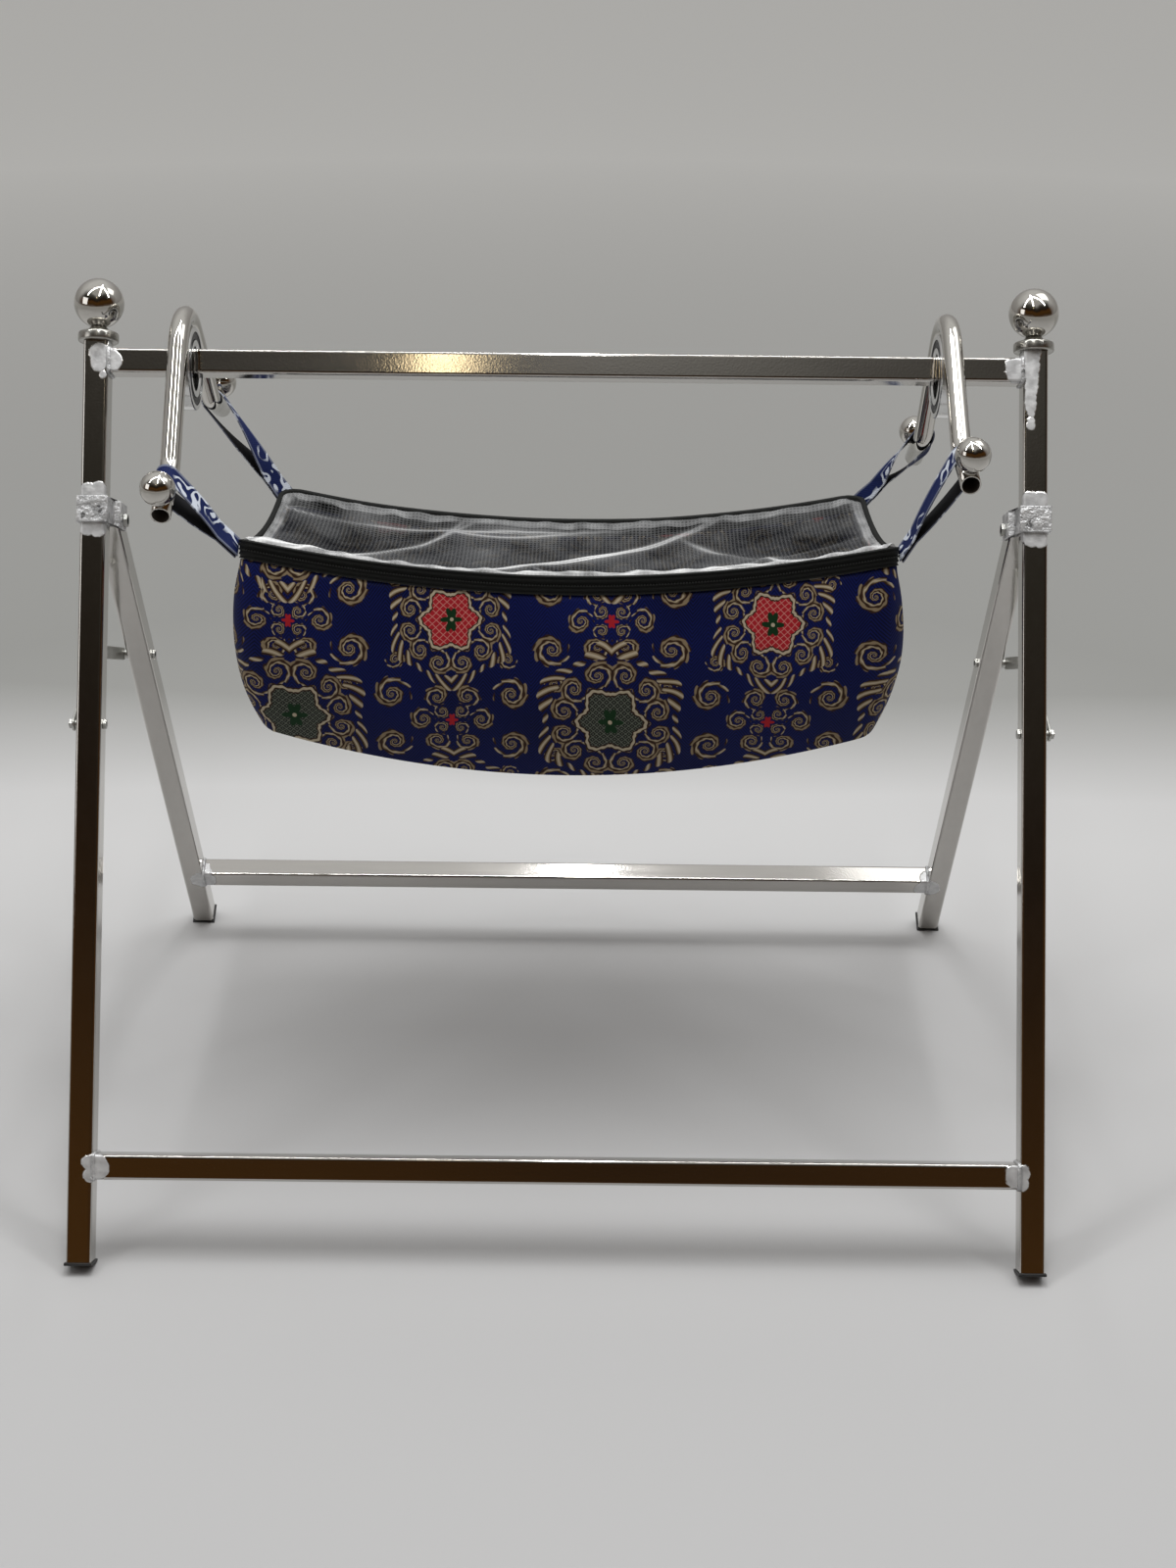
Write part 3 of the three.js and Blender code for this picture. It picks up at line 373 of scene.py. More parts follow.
def printedClothFinish(name, shade):
    made = Finish(name, Specular_IOR_Level=0.12)
    u, v, flat = made.clothPlace()
    driftU, driftV, _ = made.parts(made.noise(26.0, 1.0, flat, 0.5, "Color"))
    drift, dv = (driftU - 0.5) * cloth["warp"], v + (driftV - 0.5) * cloth["warp"]
    odd = (u / cloth["column"]).math("FLOOR").math("FLOORED_MODULO", 2.0)
    x = (u / cloth["column"]).centred() * cloth["column"] + drift
    y, between = ((dv / cloth["drop"] + odd * 0.5 + shift).centred() * cloth["drop"] for shift in (0.0, 0.5))
    half = abs(x)
    scale = cloth["big"] - odd * (cloth["big"] - cloth["small"])
    radius = (x * x + y * y * 0.8).math("SQRT") / scale
    angle = y.math("ARCTAN2", half + 0.00001)
    sprigRadius, sprigAngle = (x * x + between * between).math("SQRT"), between.math("ARCTAN2", half + 0.00001)

    # ground with its zigzag ribs
    zig = abs((u / cloth["zigzag"]).centred()) * cloth["zigzag"]
    rib = ((v + zig * 1.3) * (tau / cloth["rib"])).math("SINE") * 0.5 + 0.5
    cloudy = made.noise(6.0, 2.0, flat)
    colour = made.mix(rib * 0.65 + (cloudy - 0.4) * 0.9, cloth["navy"], cloth["blue"])

    # arms that reach into the ground, then sprigs, then the leaves and scrolls round each field
    for armX, armY, size in cloth["arms"]:
        colour = scrollWork(made, colour, half - armX, abs(y) - armY, size)
    for sprig in cloth["sprigs"]:
        colour = scrollRing(made, colour, sprigRadius, sprigAngle, *sprig)
    colour = layered(made, colour, [(flower(sprigRadius, sprigAngle, cloth["bud"], 0.35, cloth["line"]), "red")])
    colour = leafFan(made, colour, radius, angle, 6)
    colour = scrollRing(made, colour, radius, angle, *cloth["ring"])
    edge = (1 + (angle * 6).math("COSINE") * cloth["lobes"]) * cloth["field"]
    colour = made.mix(stroke(radius, edge, 0.0008), colour, latticeField(made, x, y, odd, radius, angle))
    rim = abs(radius - edge - (angle * 30).math("SINE") * 0.0006)
    colour = layered(made, colour, [(stroke(rim, wide, cloth["line"]), tone) for wide, tone in cloth["rim"]])
    # painted shade: the print is mixed towards the near-black inside colour by the shade share, with noise; slight on
    # the outside, strong on the basket's inside
    colour = made.mix(shade + (cloudy - 0.5) * 0.2, colour, cloth["inside"])
    height = rib * 0.6 + made.noise(cloth["weave"], 1.0, flat) * 0.5
    return made.done(colour, 0.52 + cloudy * 0.2, height, *cloth["bump"])


webbing = {
    "dark": (0.004, 0.009, 0.05), "blue": (0.008, 0.019, 0.105), "white": (0.52, 0.56, 0.63),
    "rib": 0.0022, "edge": 0.0092,
}


def strapFinish():
    made = Finish("strapPrint", Specular_IOR_Level=0.15)
    u, v, flat = made.clothPlace()
    wander = made.noise(38.0, 1.5, flat)
    patches = ((made.noise(22.0, 1.0, flat) - 0.46) * 14).clamped()
    white = stroke(abs((wander * 6).centred()), 0.2, 0.04) * patches
    edgeThread = ((abs(v) - webbing["edge"]) * 900).clamped()
    ribs = (u * (tau / webbing["rib"])).math("SINE") * 0.5 + 0.5
    colour = made.mix(ribs * 0.5, webbing["dark"], webbing["blue"])
    colour = made.mix(white.math("MAXIMUM", edgeThread * 0.25), colour, webbing["white"])
    return made.done(colour, 0.62 + wander * 0.2, ribs * 0.5 + white, 0.5, 0.0004)


netThread = {"pitch": 0.0021, "low": (0.62, 0.63, 0.64), "high": (0.93, 0.94, 0.94), "cloud": 14.0, "fine": 230.0}


def netFinish():
    made = Finish("whiteNet")
    u, v, _ = made.clothPlace()
    fold = made.make("ShaderNodeAttribute", {"attribute_name": "foldShare"}, out="Fac")
    across, along = (way * (pi / netThread["pitch"]) for way in (u, v))
    threads = abs(across).math("SINE").math("MAXIMUM", along.math("SINE"))
    cloud, fine = made.noise(netThread["cloud"], 3.0), made.noise(netThread["fine"], 2.0)
    cover = (fold * 0.78 + (cloud - 0.4) * 0.34 + fine * 0.05 + threads * 0.06).clamped()
    return made.done(made.mix(fold, netThread["low"], netThread["high"]), 0.75, threads, 0.2, 0.0003, Alpha=cover)


printedCloth = printedClothFinish("printedCloth", 0.05)
# the basket's inside: the same print, mostly darkened to near black by painted shade
clothInsideShade = printedClothFinish("clothInsideShade", 0.62)
strapPrint = strapFinish()
whiteNet = netFinish()
print("cloth finishes ready")


# Mesh helpers
def finishMesh(mesh, name, smoothAngle=35.0):
    work = bmesh.new()
    work.from_mesh(mesh)
    bmesh.ops.remove_doubles(work, verts=work.verts, dist=1e-6)
    bmesh.ops.recalc_face_normals(work, faces=work.faces)
    work.to_mesh(mesh)
    work.free()
    mesh.shade_smooth()
    mesh.set_sharp_from_angle(angle=radians(smoothAngle))
    piece = bpy.data.objects.new(name, mesh)
    scene.collection.objects.link(piece)
    return piece


def newPiece(name, verts, faces, materials, smoothAngle=35.0, faceSlots=None, mapAt=None):
    # mapAt gives a face's corner its place on the cloth map
    mesh = bpy.data.meshes.new(name)
    mesh.from_pydata([tuple(v) for v in verts], [], faces)
    for material in materials:
        mesh.materials.append(material)
    if faceSlots:
        mesh.polygons.foreach_set("material_index", faceSlots)
    if mapAt:
        layer = mesh.uv_layers.new(name="clothMap")
        for face in mesh.polygons:
            for loop in face.loop_indices:
                layer.data[loop].uv = mapAt(face.index, mesh.loops[loop].vertex_index)
    return finishMesh(mesh, name, smoothAngle)


def skin(rows, closed=False):
    # faces between rows of vertex numbers; a row of one number is a pole
    faces = []
    for a, b in list(zip(rows, rows[1:])) + ([(rows[-1], rows[0])] if closed else []):
        count = max(len(a), len(b))
        for i in range(count):
            j = (i + 1) % count
            face = tuple(dict.fromkeys((a[i % len(a)], a[j % len(a)], b[j % len(b)], b[i % len(b)])))
            if len(face) > 2:
                faces.append(face)
    return faces


def numbered(rings):
    # rings of points as one list, with each ring's numbers in it
    verts, rows = [], []
    for ring in rings:
        rows.append(range(len(verts), len(verts) + len(ring)))
        verts += ring
    return verts, rows


def ringPiece(name, rings, material, closed=True, smoothAngle=35.0):
    verts, rows = numbered(rings)
    return newPiece(name, verts, skin(rows, closed), [material], smoothAngle)


def joinPieces(name, pieces):
    target = pieces[0]
    with bpy.context.temp_override(active_object=target, selected_editable_objects=pieces, object=target):
        bpy.ops.object.join()
    target.name = name
    target.data.name = name
    return target


def settle(piece, body, slot, *nodes):
    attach(piece, body)
    if nodes:
        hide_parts(*nodes)
    return piece


def arc(start, end, steps):
    return [start + (end - start) * i / steps for i in range(steps + 1)]


def roundedSquareRing(reach, corner, steps=5, lead=0.0005):
    # a short flat lead on both sides of each corner keeps the shading of the flats clean
    points = []
    inner = reach - corner
    for quarter, (sx, sy) in enumerate(((1, 1), (-1, 1), (-1, -1), (1, -1))):
        base = quarter * pi / 2
        end = base + pi / 2
        ring = [(sx * inner + corner * cos(t), sy * inner + corner * sin(t)) for t in arc(base, end, steps)]
        before = (ring[0][0] + sin(base) * lead, ring[0][1] - cos(base) * lead)
        after = (ring[-1][0] - sin(end) * lead, ring[-1][1] + cos(end) * lead)
        points += [before, *ring, after]
    return points


def squareTube(name, start, along, length, across, deep, material):
    outer = roundedSquareRing(tubeHalf, stand["corner"])
    inner = roundedSquareRing(tubeHalf - stand["wall"], stand["corner"] - stand["wall"])
    rings = [[start + across * a + deep * b + along * end for a, b in ring]
             for ring, end in ((outer, 0), (outer, length), (inner, length), (inner, 0))]
    return ringPiece(name, rings, material, True, 40)


def lathe(name, profile, origin, axis, material, segments=48, closed=True, smoothAngle=35.0):
    axis = Vector(axis).normalized()
    side = axis.orthogonal().normalized()
    other = axis.cross(side)
    turns = [tau * i / segments for i in range(segments)]
    rings = []
    for radius, height in profile:
        middle = origin + axis * height
        round_ = [middle + (side * cos(t) + other * sin(t)) * radius for t in turns]
        rings.append(round_ if radius > 1e-7 else [middle])
    return ringPiece(name, rings, material, closed, smoothAngle)


def globeProfile(radius, steps, start=0.0):
    # half a circle from its lower end, where start cuts a flat seat
    turns = [start + (pi - start) * i / steps for i in range(steps)]
    curve = [(radius * sin(t), -radius * cos(t)) for t in turns[0 if start else 1:]]
    return [(0, -radius * cos(start)), *curve, (0, radius)]


def prism(name, outline, depth, origin, across, up, out, material, bevel=0.0, bevelSteps=2):
    verts = [origin + across * a + up * b + out * (end * depth / 2) for end in (-1, 1) for a, b in outline]
    count = len(outline)
    rows = (range(count), range(count, 2 * count))
    piece = newPiece(name, verts, [tuple(row) for row in rows] + skin(rows), [material])
    if bevel:
        edge = piece.modifiers.new("softEdges", "BEVEL")
        edge.width, edge.segments, edge.limit_method = bevel, bevelSteps, "ANGLE"
        edge.angle_limit = radians(40)
        edge.harden_normals = False
    return piece


# Geometry node trees: each ends in realized, painted geometry
def nodeTree(name, sizes):
    tree = bpy.data.node_groups.new(name, "GeometryNodeTree")
    tree.interface.new_socket("Path", in_out="INPUT", socket_type="NodeSocketGeometry")
    tree.interface.new_socket("Made", in_out="OUTPUT", socket_type="NodeSocketGeometry")
    for label, (kind, value) in sizes.items():
        tree.interface.new_socket(label, in_out="INPUT", socket_type=f"NodeSocket{kind}").default_value = value
    tree.interface.new_socket("Material", in_out="INPUT", socket_type="NodeSocketMaterial")
    desk = NodeDesk(tree)
    group = desk.node("NodeGroupInput")
    return tree, desk, {s.name: Wire(desk, s) for s in group.outputs if s.name}


def endTree(tree, desk, made, inputs):
    whole = desk.make("GeometryNodeRealizeInstances", {}, [made])
    painted = desk.make("GeometryNodeSetMaterial", {}, {"Geometry": whole, "Material": inputs["Material"]})
    desk.node("NodeGroupOutput", {}, [painted])
    return tree


def pipeTree():
    # a round section along a path, with bumps such as a weld has
    tree, desk, inputs = nodeTree("pipeAlongPath", {
        "Radius": ("Float", 0.01), "Sides": ("Int", 24), "Bumps": ("Float", 0.0), "Bump Scale": ("Float", 200.0)})
    size = {"Resolution": inputs["Sides"], "Radius": inputs["Radius"]}
    ring = desk.make("GeometryNodeCurvePrimitiveCircle", {"mode": "RADIUS"}, size)
    pipe = desk.make("GeometryNodeCurveToMesh", {}, {"Curve": inputs["Path"], "Profile Curve": ring})
    rough = desk.make("ShaderNodeTexNoise", {}, {"Scale": inputs["Bump Scale"], "Detail": 2.0}, "Color")
    centred = desk.make("ShaderNodeVectorMath", {"operation": "SUBTRACT"}, [rough, (0.5, 0.5, 0.5)])
    offset = desk.make("ShaderNodeVectorMath", {"operation": "SCALE"}, {0: centred, "Scale": inputs["Bumps"]})
    moved = desk.make("GeometryNodeSetPosition", {}, {"Geometry": pipe, "Offset": offset})
    return endTree(tree, desk, moved, inputs)


def rowTree():
    # small blocks set along a path at a steady pitch
    sizes = {"Pitch": ("Float", 0.0026), "Block": ("Vector", (0.002, 0.002, 0.001))}
    tree, desk, inputs = nodeTree("blocksAlongPath", sizes)
    run = {"Curve": inputs["Path"], "Length": inputs["Pitch"]}
    points = desk.node("GeometryNodeCurveToPoints", {"mode": "LENGTH"}, run)
    block = desk.make("GeometryNodeMeshCube", {}, {"Size": inputs["Block"]})
    spots, turns = (Wire(desk, points.outputs[name]) for name in ("Points", "Rotation"))
    whole = desk.make("GeometryNodeInstanceOnPoints", {}, {"Points": spots, "Instance": block, "Rotation": turns})
    return endTree(tree, desk, whole, inputs)


def onPointsTree(name, sizes, kind, settings, turn=(0.0, 0.0, 0.0)):
    # one shape on each of a set of points
    tree, desk, inputs = nodeTree(name, sizes)
    points = desk.make("GeometryNodeMeshToPoints", {}, {"Mesh": inputs["Path"]})
    shape = desk.make(kind, {}, {key: inputs.get(value, value) for key, value in settings.items()})
    whole = desk.make("GeometryNodeInstanceOnPoints", {}, {"Points": points, "Instance": shape, "Rotation": turn})
    return endTree(tree, desk, whole, inputs)


def growMesh(name, carrier, tree, values, smoothAngle=35.0):
    # runs a tree on a carrier object and keeps the plain mesh
    modifier = carrier.modifiers.new("grow", "NODES")
    modifier.node_group = tree
    for item in tree.interface.items_tree:
        if item.in_out == "INPUT" and item.name in values:
            modifier[item.identifier] = values[item.name]
    ready = carrier.evaluated_get(bpy.context.evaluated_depsgraph_get())
    mesh = bpy.data.meshes.new_from_object(ready)
    mesh.name = name
    bpy.data.objects.remove(carrier)
    return finishMesh(mesh, name, smoothAngle)


def pathCarrier(name, points, closed=False):
    data = bpy.data.curves.new(name, "CURVE")
    data.dimensions = "3D"
    spline = data.splines.new("POLY")
    spline.points.add(len(points) - 1)
    for target, p in zip(spline.points, points):
        target.co = (*p, 1)
    spline.use_cyclic_u = closed
    carrier = bpy.data.objects.new(name, data)
    scene.collection.objects.link(carrier)
    return carrier


def pointCarrier(name, points):
    mesh = bpy.data.meshes.new(name)
    mesh.from_pydata([tuple(p) for p in points], [], [])
    carrier = bpy.data.objects.new(name, mesh)
    scene.collection.objects.link(carrier)
    return carrier


pipes, blocks = pipeTree(), rowTree()
headSizes = {"Radius": ("Float", 0.005), "Height": ("Float", 0.003), "Sides": ("Int", 6)}
headShape = {"Vertices": "Sides", "Radius": "Radius", "Depth": "Height"}
heads = onPointsTree("headsOnPoints", headSizes, "GeometryNodeMeshCylinder", headShape, (0.0, pi / 2, 0.0))
ballShape = {"Segments": 20, "Rings": 10, "Radius": "Radius"}
balls = onPointsTree("ballsOnPoints", {"Radius": ("Float", 0.0056)}, "GeometryNodeMeshUVSphere", ballShape)
print("node trees ready")


# Stand: tubes, plugs, caps and balls. Each rail has its names, its body and where it lies
rails = (("topRail", "top_rail", "top", "front_frame", onPost, "postX", stand["topRail"], postBack, postUp),
         ("lowerRail", "front_lower_rail", "low", "front_frame", onPost, "postX", stand["lowRail"], postBack, postUp),
         ("backRail", "back_rail", "back", "back_frame", onLeg, "legX", -stand["backRail"], legOut, legUp))


def makeStand():
    for name, node, _, body, on, x, at, deep, up in rails:
        half = stand[x] - tubeHalf - gap
        tube = squareTube(name, on(-half, 0, at), sideways, 2 * half, deep, up, railSteel)
        settle(tube, body, "polished_steel", node)
    for name, sign in sides:
        foot = onPost(sign * stand["postX"], 0, 0)
        post = squareTube(f"post_{name}", foot, postUp, stand["post"], sideways, postBack, tubeSteel)
        settle(post, "front_frame", "polished_steel", f"front_post_{name}")
        low = onLeg(sign * stand["legX"], 0, -stand["leg"])
        leg = squareTube(f"leg_{name}", low, legUp, stand["leg"] + stand["legTop"], sideways, legOut, tubeSteel)
        settle(leg, "back_frame", "polished_steel", f"back_leg_{name}")


bead = {"Radius": 0.0021, "Sides": 8, "Bumps": 0.0022, "Bump Scale": 260.0, "Material": silverPaint}


def makeWelds():
    # a bumpy bead round each rail end, where it meets its post or leg
    ring = roundedSquareRing(tubeHalf, stand["corner"], 3)
    for _, _, label, body, on, x, at, deep, up in rails:
        for name, sign in sides:
            centre = on(sign * (stand[x] - tubeHalf - 2 * gap), 0, at)
            path = [centre + deep * a + up * b for a, b in ring]
            piece = growMesh(f"weld_{label}_{name}", pathCarrier("beadPath", path, True), pipes, bead, 60)
            settle(piece, body, "silver_paint")


plugs = {
    "lip": 0.0013, "flange": 0.003, "worn": 0.0012, "bevel": 0.0005,
    "crown": 0.0028, "shoulder": 0.0015, "slope": 0.005, "crownBevel": 0.0006,
}


def makePlugs():
    reach = tubeHalf + plugs["lip"]
    low = -(gap + plugs["flange"])
    cutA, cutB = plugs["worn"] / sin(stand["lean"]), plugs["worn"] / cos(stand["lean"])
    outline = [(-reach, low), (reach - cutA, low), (reach, low + cutB), (reach, -gap), (-reach, -gap)]
    crown = [(-tubeHalf, gap), (tubeHalf, gap), (tubeHalf, plugs["crown"]),
             (-tubeHalf + plugs["slope"], plugs["crown"]), (-tubeHalf, plugs["shoulder"])]
    for name, sign in sides:
        foot, top = (onLeg(sign * stand["legX"], 0, up) for up in (-stand["leg"], stand["legTop"]))
        ends = ((f"frontPlug_{name}", "front_frame", f"front_foot_plug_{name}", outline, 2 * reach,
                 onPost(sign * stand["postX"], 0, 0), postBack, postUp, plugs["bevel"]),
                (f"backPlug_{name}", "back_frame", f"back_foot_plug_{name}", outline, 2 * reach,
                 foot, -legOut, legUp, plugs["bevel"]),
                (f"legTop_{name}", "back_frame", f"leg_top_plug_{name}", crown, stand["tube"],
                 top, legOut, legUp, plugs["crownBevel"]))
        for label, body, node, shape, wide, place, out, up, bevel in ends:
            plug = prism(label, shape, wide, place, out, up, sideways, blackPlastic, bevel)
            settle(plug, body, "black_plastic", node)


finial = {
    "cap": 0.0205, "thick": 0.01, "round": 0.002, "neck": 0.012, "flare": 0.002, "flareUp": 0.0015, "neckUp": 0.006,
    "ball": 0.0254, "seat": 0.008, "segments": 56,
}


def makeFinials():
    cap, thick, soft, neck, ball = (finial[k] for k in ("cap", "thick", "round", "neck", "ball"))
    edge, turns = cap - soft, (0, 0.4, 0.8, 1.2, pi / 2)
    outline = [(0, 0), (edge, 0)]
    outline += [(edge + soft * sin(t), soft - soft * cos(t)) for t in turns[1:]]
    outline += [(edge + soft * cos(t), thick - soft + soft * sin(t)) for t in turns]
    top = thick + finial["neckUp"]
    outline += [(neck + finial["flare"], thick), (neck, thick + finial["flareUp"]), (finial["seat"], top), (0, top)]
    start = asin(finial["seat"] / ball)
    for name, sign in sides:
        seat = onPost(sign * stand["postX"], 0, stand["post"] + gap)
        piece = lathe(f"cap_{name}", outline, seat, postUp, capSteel, finial["segments"], False)
        settle(piece, "front_frame", "polished_steel", f"post_cap_{name}")
        middle = seat + postUp * (top + gap + ball * cos(start))
        globe = globeProfile(ball, 30, start)
        piece = lathe(f"finial_{name}", globe, middle, postUp, brightSteel, finial["segments"], False, 60)
        settle(piece, "front_frame", "polished_steel", f"finial_ball_{name}")


clamp = {"thick": 0.003, "tall": 0.027, "rise": 0.004, "bend": 0.004, "step": 0.006, "ear": 0.013, "bevel": 0.0009}


def makeClamps():
    inner = tubeHalf + gap
    outer = inner + clamp["thick"]
    bendEnd, earEnd = inner + clamp["bend"], stand["setback"] + clamp["ear"]
    for name, sign in sides:
        shift = -sign * clamp["step"]
        plan = [(-outer, -outer), (outer, -outer), (outer, inner), (outer + shift, bendEnd), (outer + shift, earEnd),
                (inner + shift, earEnd), (inner + shift, bendEnd), (inner, inner), (inner, -inner), (-inner, -inner),
                (-inner, inner), (-inner + shift, bendEnd), (-inner + shift, earEnd), (-outer + shift, earEnd),
                (-outer + shift, bendEnd), (-outer, inner)]
        centre, tall = onPost(sign * stand["postX"], 0, stand["pivotHeight"] + clamp["rise"]), clamp["tall"]
        piece = prism(f"clamp_{name}", plan, tall, centre, sideways, postBack, postUp, silverPaint, clamp["bevel"], 3)
        settle(piece, "front_frame", "silver_paint", f"pivot_clamp_{name}")


bolts = {"pivot": 0.004, "stay": 0.003, "headWide": 1.75, "headTall": 0.9, "spacer": 1.7}
stays = {"kneeRise": 0.0396, "wide": 0.014, "thick": 0.0025, "rivet": 0.003, "rivetHead": 0.0018, "bevel": 0.0005}
stayRear = stand["postX"] + tubeHalf + gap + stays["thick"] / 2
stayFront = stayRear + stays["thick"] + gap
stayUp = stand["pivotHeight"] - stand["stayDrop"]


def makeBolt(label, body, node, base, sign, radius, near, far, spacer):
    # a hexagon head and nut on a stem, with a spacer where the link stands off
    tall = radius * bolts["headTall"]
    start, end, tip = near - tall, far + tall, far + tall + radius * 0.4
    ends = [base + sideways * (sign * at) for at in (near - tall / 2, far + tall / 2)]
    values = {"Radius": radius * bolts["headWide"], "Height": tall, "Sides": 6, "Material": zincPlate}
    hexes = growMesh(label, pointCarrier("headPoints", ends), heads, values)
    shank = [(0, start), (radius, start), (radius, end + radius * 0.25), (radius * 0.8, tip), (0, tip)]
    if spacer:
        wide = radius * bolts["spacer"]
        shank[2:2] = [(radius, spacer[0]), (wide, spacer[0]), (wide, spacer[1]), (radius, spacer[1])]
    stem = lathe("stem", shank, base, sideways * sign, zincPlate, 20, False)
    settle(joinPieces(label, [hexes, stem]), body, "zinc_steel", node)


def makeBolts():
    half, wall = stays["thick"] / 2 + gap, tubeHalf + gap
    ear = wall + gap + clamp["thick"]
    runs = (("stayBoltPost", "front_frame", "stay_bolt_post", onPost(0, 0, stayUp), stand["postX"], stayFront),
            ("stayBoltLeg", "back_frame", "stay_bolt_leg", onLeg(0, 0, -stand["stayDrop"]), stand["legX"], stayRear))
    for name, sign in sides:
        for label, body, node, base, x, plane in runs:
            makeBolt(f"{label}_{name}", body, f"{node}_{name}", base, sign, bolts["stay"],
                     x - wall, plane + half, (x + wall, plane - half))
        makeBolt(f"pivotBolt_{name}", "front_frame", f"pivot_bolt_{name}", pivot, sign, bolts["pivot"],
                 stand["legX"] - ear, stand["legX"] + ear, None)


makeStand()
makeWelds()
makePlugs()
makeFinials()
makeClamps()
makeBolts()
print("stand ready")


# Folding stays
def makeStays():
    low, far = onPost(0, 0, stayUp), onLeg(0, 0, -stand["stayDrop"])
    run = far - low
    reach = hypot(run.length / 2, stays["kneeRise"])
    normal = Vector((0, -run.z, run.y)).normalized()
    knee = (low + far) / 2 + normal * stays["kneeRise"]
    half, thick = stays["wide"] / 2, stays["thick"]
    outline = [(half * cos(t), half * sin(t)) for t in arc(pi, tau, 14)]
    outline += [(half * cos(t), reach + half * sin(t)) for t in arc(0, pi, 14)]
    under, top, head, tall = -thick / 2 - 0.0001, thick / 2 + gap, stays["rivet"] * 1.7, stays["rivetHead"]
    shape = [(0, under), (stays["rivet"], under), (stays["rivet"], top), (head, top),
             (head * 0.9, top + tall * 0.7), (head * 0.5, top + tall), (0, top + tall)]
    for name, sign in sides:
        for label, base, plane, place in (("stayFront", low, stayFront, "front"), ("stayRear", far, stayRear, "rear")):
            along = (knee - base).normalized()
            centre = base + sideways * (sign * plane)
            across = sideways.cross(along)
            link = prism(f"{label}_{name}", outline, thick, centre, across, along, sideways, zincPlate, stays["bevel"])
            settle(link, f"stay_{place}_{name}", "zinc_steel", f"stay_{place}_link_{name}")
        centre = knee + sideways * (sign * stayFront)
        rivet = lathe(f"rivet_{name}", shape, centre, sideways * sign, zincPlate, 24, False)
        settle(rivet, f"stay_front_{name}", "zinc_steel", f"stay_rivet_{name}")


makeStays()
print("stays ready")


# Bearings
bearing = {
    "x": 0.388, "bore": 0.0225, "outer": 0.0425, "wide": 0.019, "innerLand": 0.0288, "outerLand": 0.0372,
    "groove": 0.0061, "soft": 0.0011, "sealIn": 0.0008, "sealThick": 0.0012, "sealGap": (0.0006, 0.0003),
    "sealLip": 0.0012, "sealGroove": 0.0004, "ball": 0.0056, "balls": 9, "cage": (0.0008, 0.003), "segments": 72,
}
trackRadius = (bearing["innerLand"] + bearing["outerLand"]) / 2


def ringProfile(low, high, grooveSide):
    # a ring's section with rounded outer edges and a ball groove on one wall
    w, soft, groove = bearing["wide"] / 2, bearing["soft"], bearing["groove"]
    wall = high if grooveSide < 0 else low
    reach = acos(abs(wall - trackRadius) / groove)
    track = [(trackRadius + grooveSide * groove * cos(t), groove * sin(t)) for t in arc(-reach, reach, 8)]
    if grooveSide < 0:
        return [(low + soft, -w), (high, -w), *track, (high, w), (low + soft, w), (low, w - soft), (low, soft - w)]
    return [(high - soft, -w), (high, soft - w), (high, w - soft), (high - soft, w),
            (low, w), *reversed(track), (low, -w)]


def makeBearings():
    low, high = bearing["innerLand"] + bearing["sealGap"][0], bearing["outerLand"] - bearing["sealGap"][1]
    out = bearing["wide"] / 2 - bearing["sealIn"]
    back, mid, lip, dip = out - bearing["sealThick"], (low + high) / 2, bearing["sealLip"], bearing["sealGroove"]
    sealSection = [(low, back), (high, back), (high, out - 0.0003), (high - 0.0006, out), (mid + lip, out),
                   (mid + 0.0008, out - dip), (mid - 0.0008, out - dip), (mid - lip, out), (low + 0.0006, out),
                   (low, out - 0.0003)]
    thin, deep = bearing["cage"]
    cageSection = [(trackRadius + thin * a, deep * b) for a, b in ((-1, -1), (1, -1), (1, 1), (-1, 1))]
    rings = (("innerRing", bearing["bore"], bearing["innerLand"], -1, "front_frame", "inner"),
             ("outerRing", bearing["outerLand"], bearing["outer"], 1, "cradle", "outer"))
    turns = [tau * i / bearing["balls"] for i in range(bearing["balls"])]
    for name, sign in sides:
        centre = swingAxis + sideways * (sign * bearing["x"])
        for label, inside, outside, grooveSide, body, place in rings:
            profile = ringProfile(inside, outside, grooveSide)
            piece = lathe(f"{label}_{name}", profile, centre, sideways, bearingSteel, bearing["segments"])
            settle(piece, body, "bearing_steel", f"bearing_{place}_ring_{name}")
        for where, side in (("outer", sign), ("inner", -sign)):
            seal = lathe(f"seal_{where}_{name}", sealSection, centre, sideways * side, sealRubber, bearing["segments"])
            settle(seal, "cradle", "seal_rubber", f"bearing_seal_{where}_{name}")
        spots = [centre + Vector((0, trackRadius * cos(t), trackRadius * sin(t))) for t in turns]
        values = {"Radius": bearing["ball"], "Material": bearingSteel}
        loose = growMesh("looseBalls", pointCarrier("ballPoints", spots), balls, values, 60)
        cage = joinPieces(f"ballCage_{name}", [loose, lathe("cage", cageSection, centre, sideways, bearingSteel)])
        settle(cage, f"ball_cage_{name}", "bearing_steel", f"bearing_ball_cage_{name}")


makeBearings()
print("bearings ready")


# Hangers: tube bent over each bearing, with a ball on each hook
hanger = {
    "tube": 0.01, "wall": 0.0015, "splay": radians(40), "arm": 0.131, "hook": 0.07, "turn": radians(26),
    "bend": 0.04, "rest": {"left": 0.0, "right": radians(-13)}, "ball": 0.0172, "ballBack": 0.008,
    "strapAt": 0.024, "sides": 36,
    "arch": (0.0425 + 0.0003 + 0.01) / cos(radians(100 / 18)),
    "weld": ((0, 0), (0.0052, 0), (0.004, 0.0014), (0.0046, 0.003), (0, 0.003)), "weldSink": 0.0009,
}


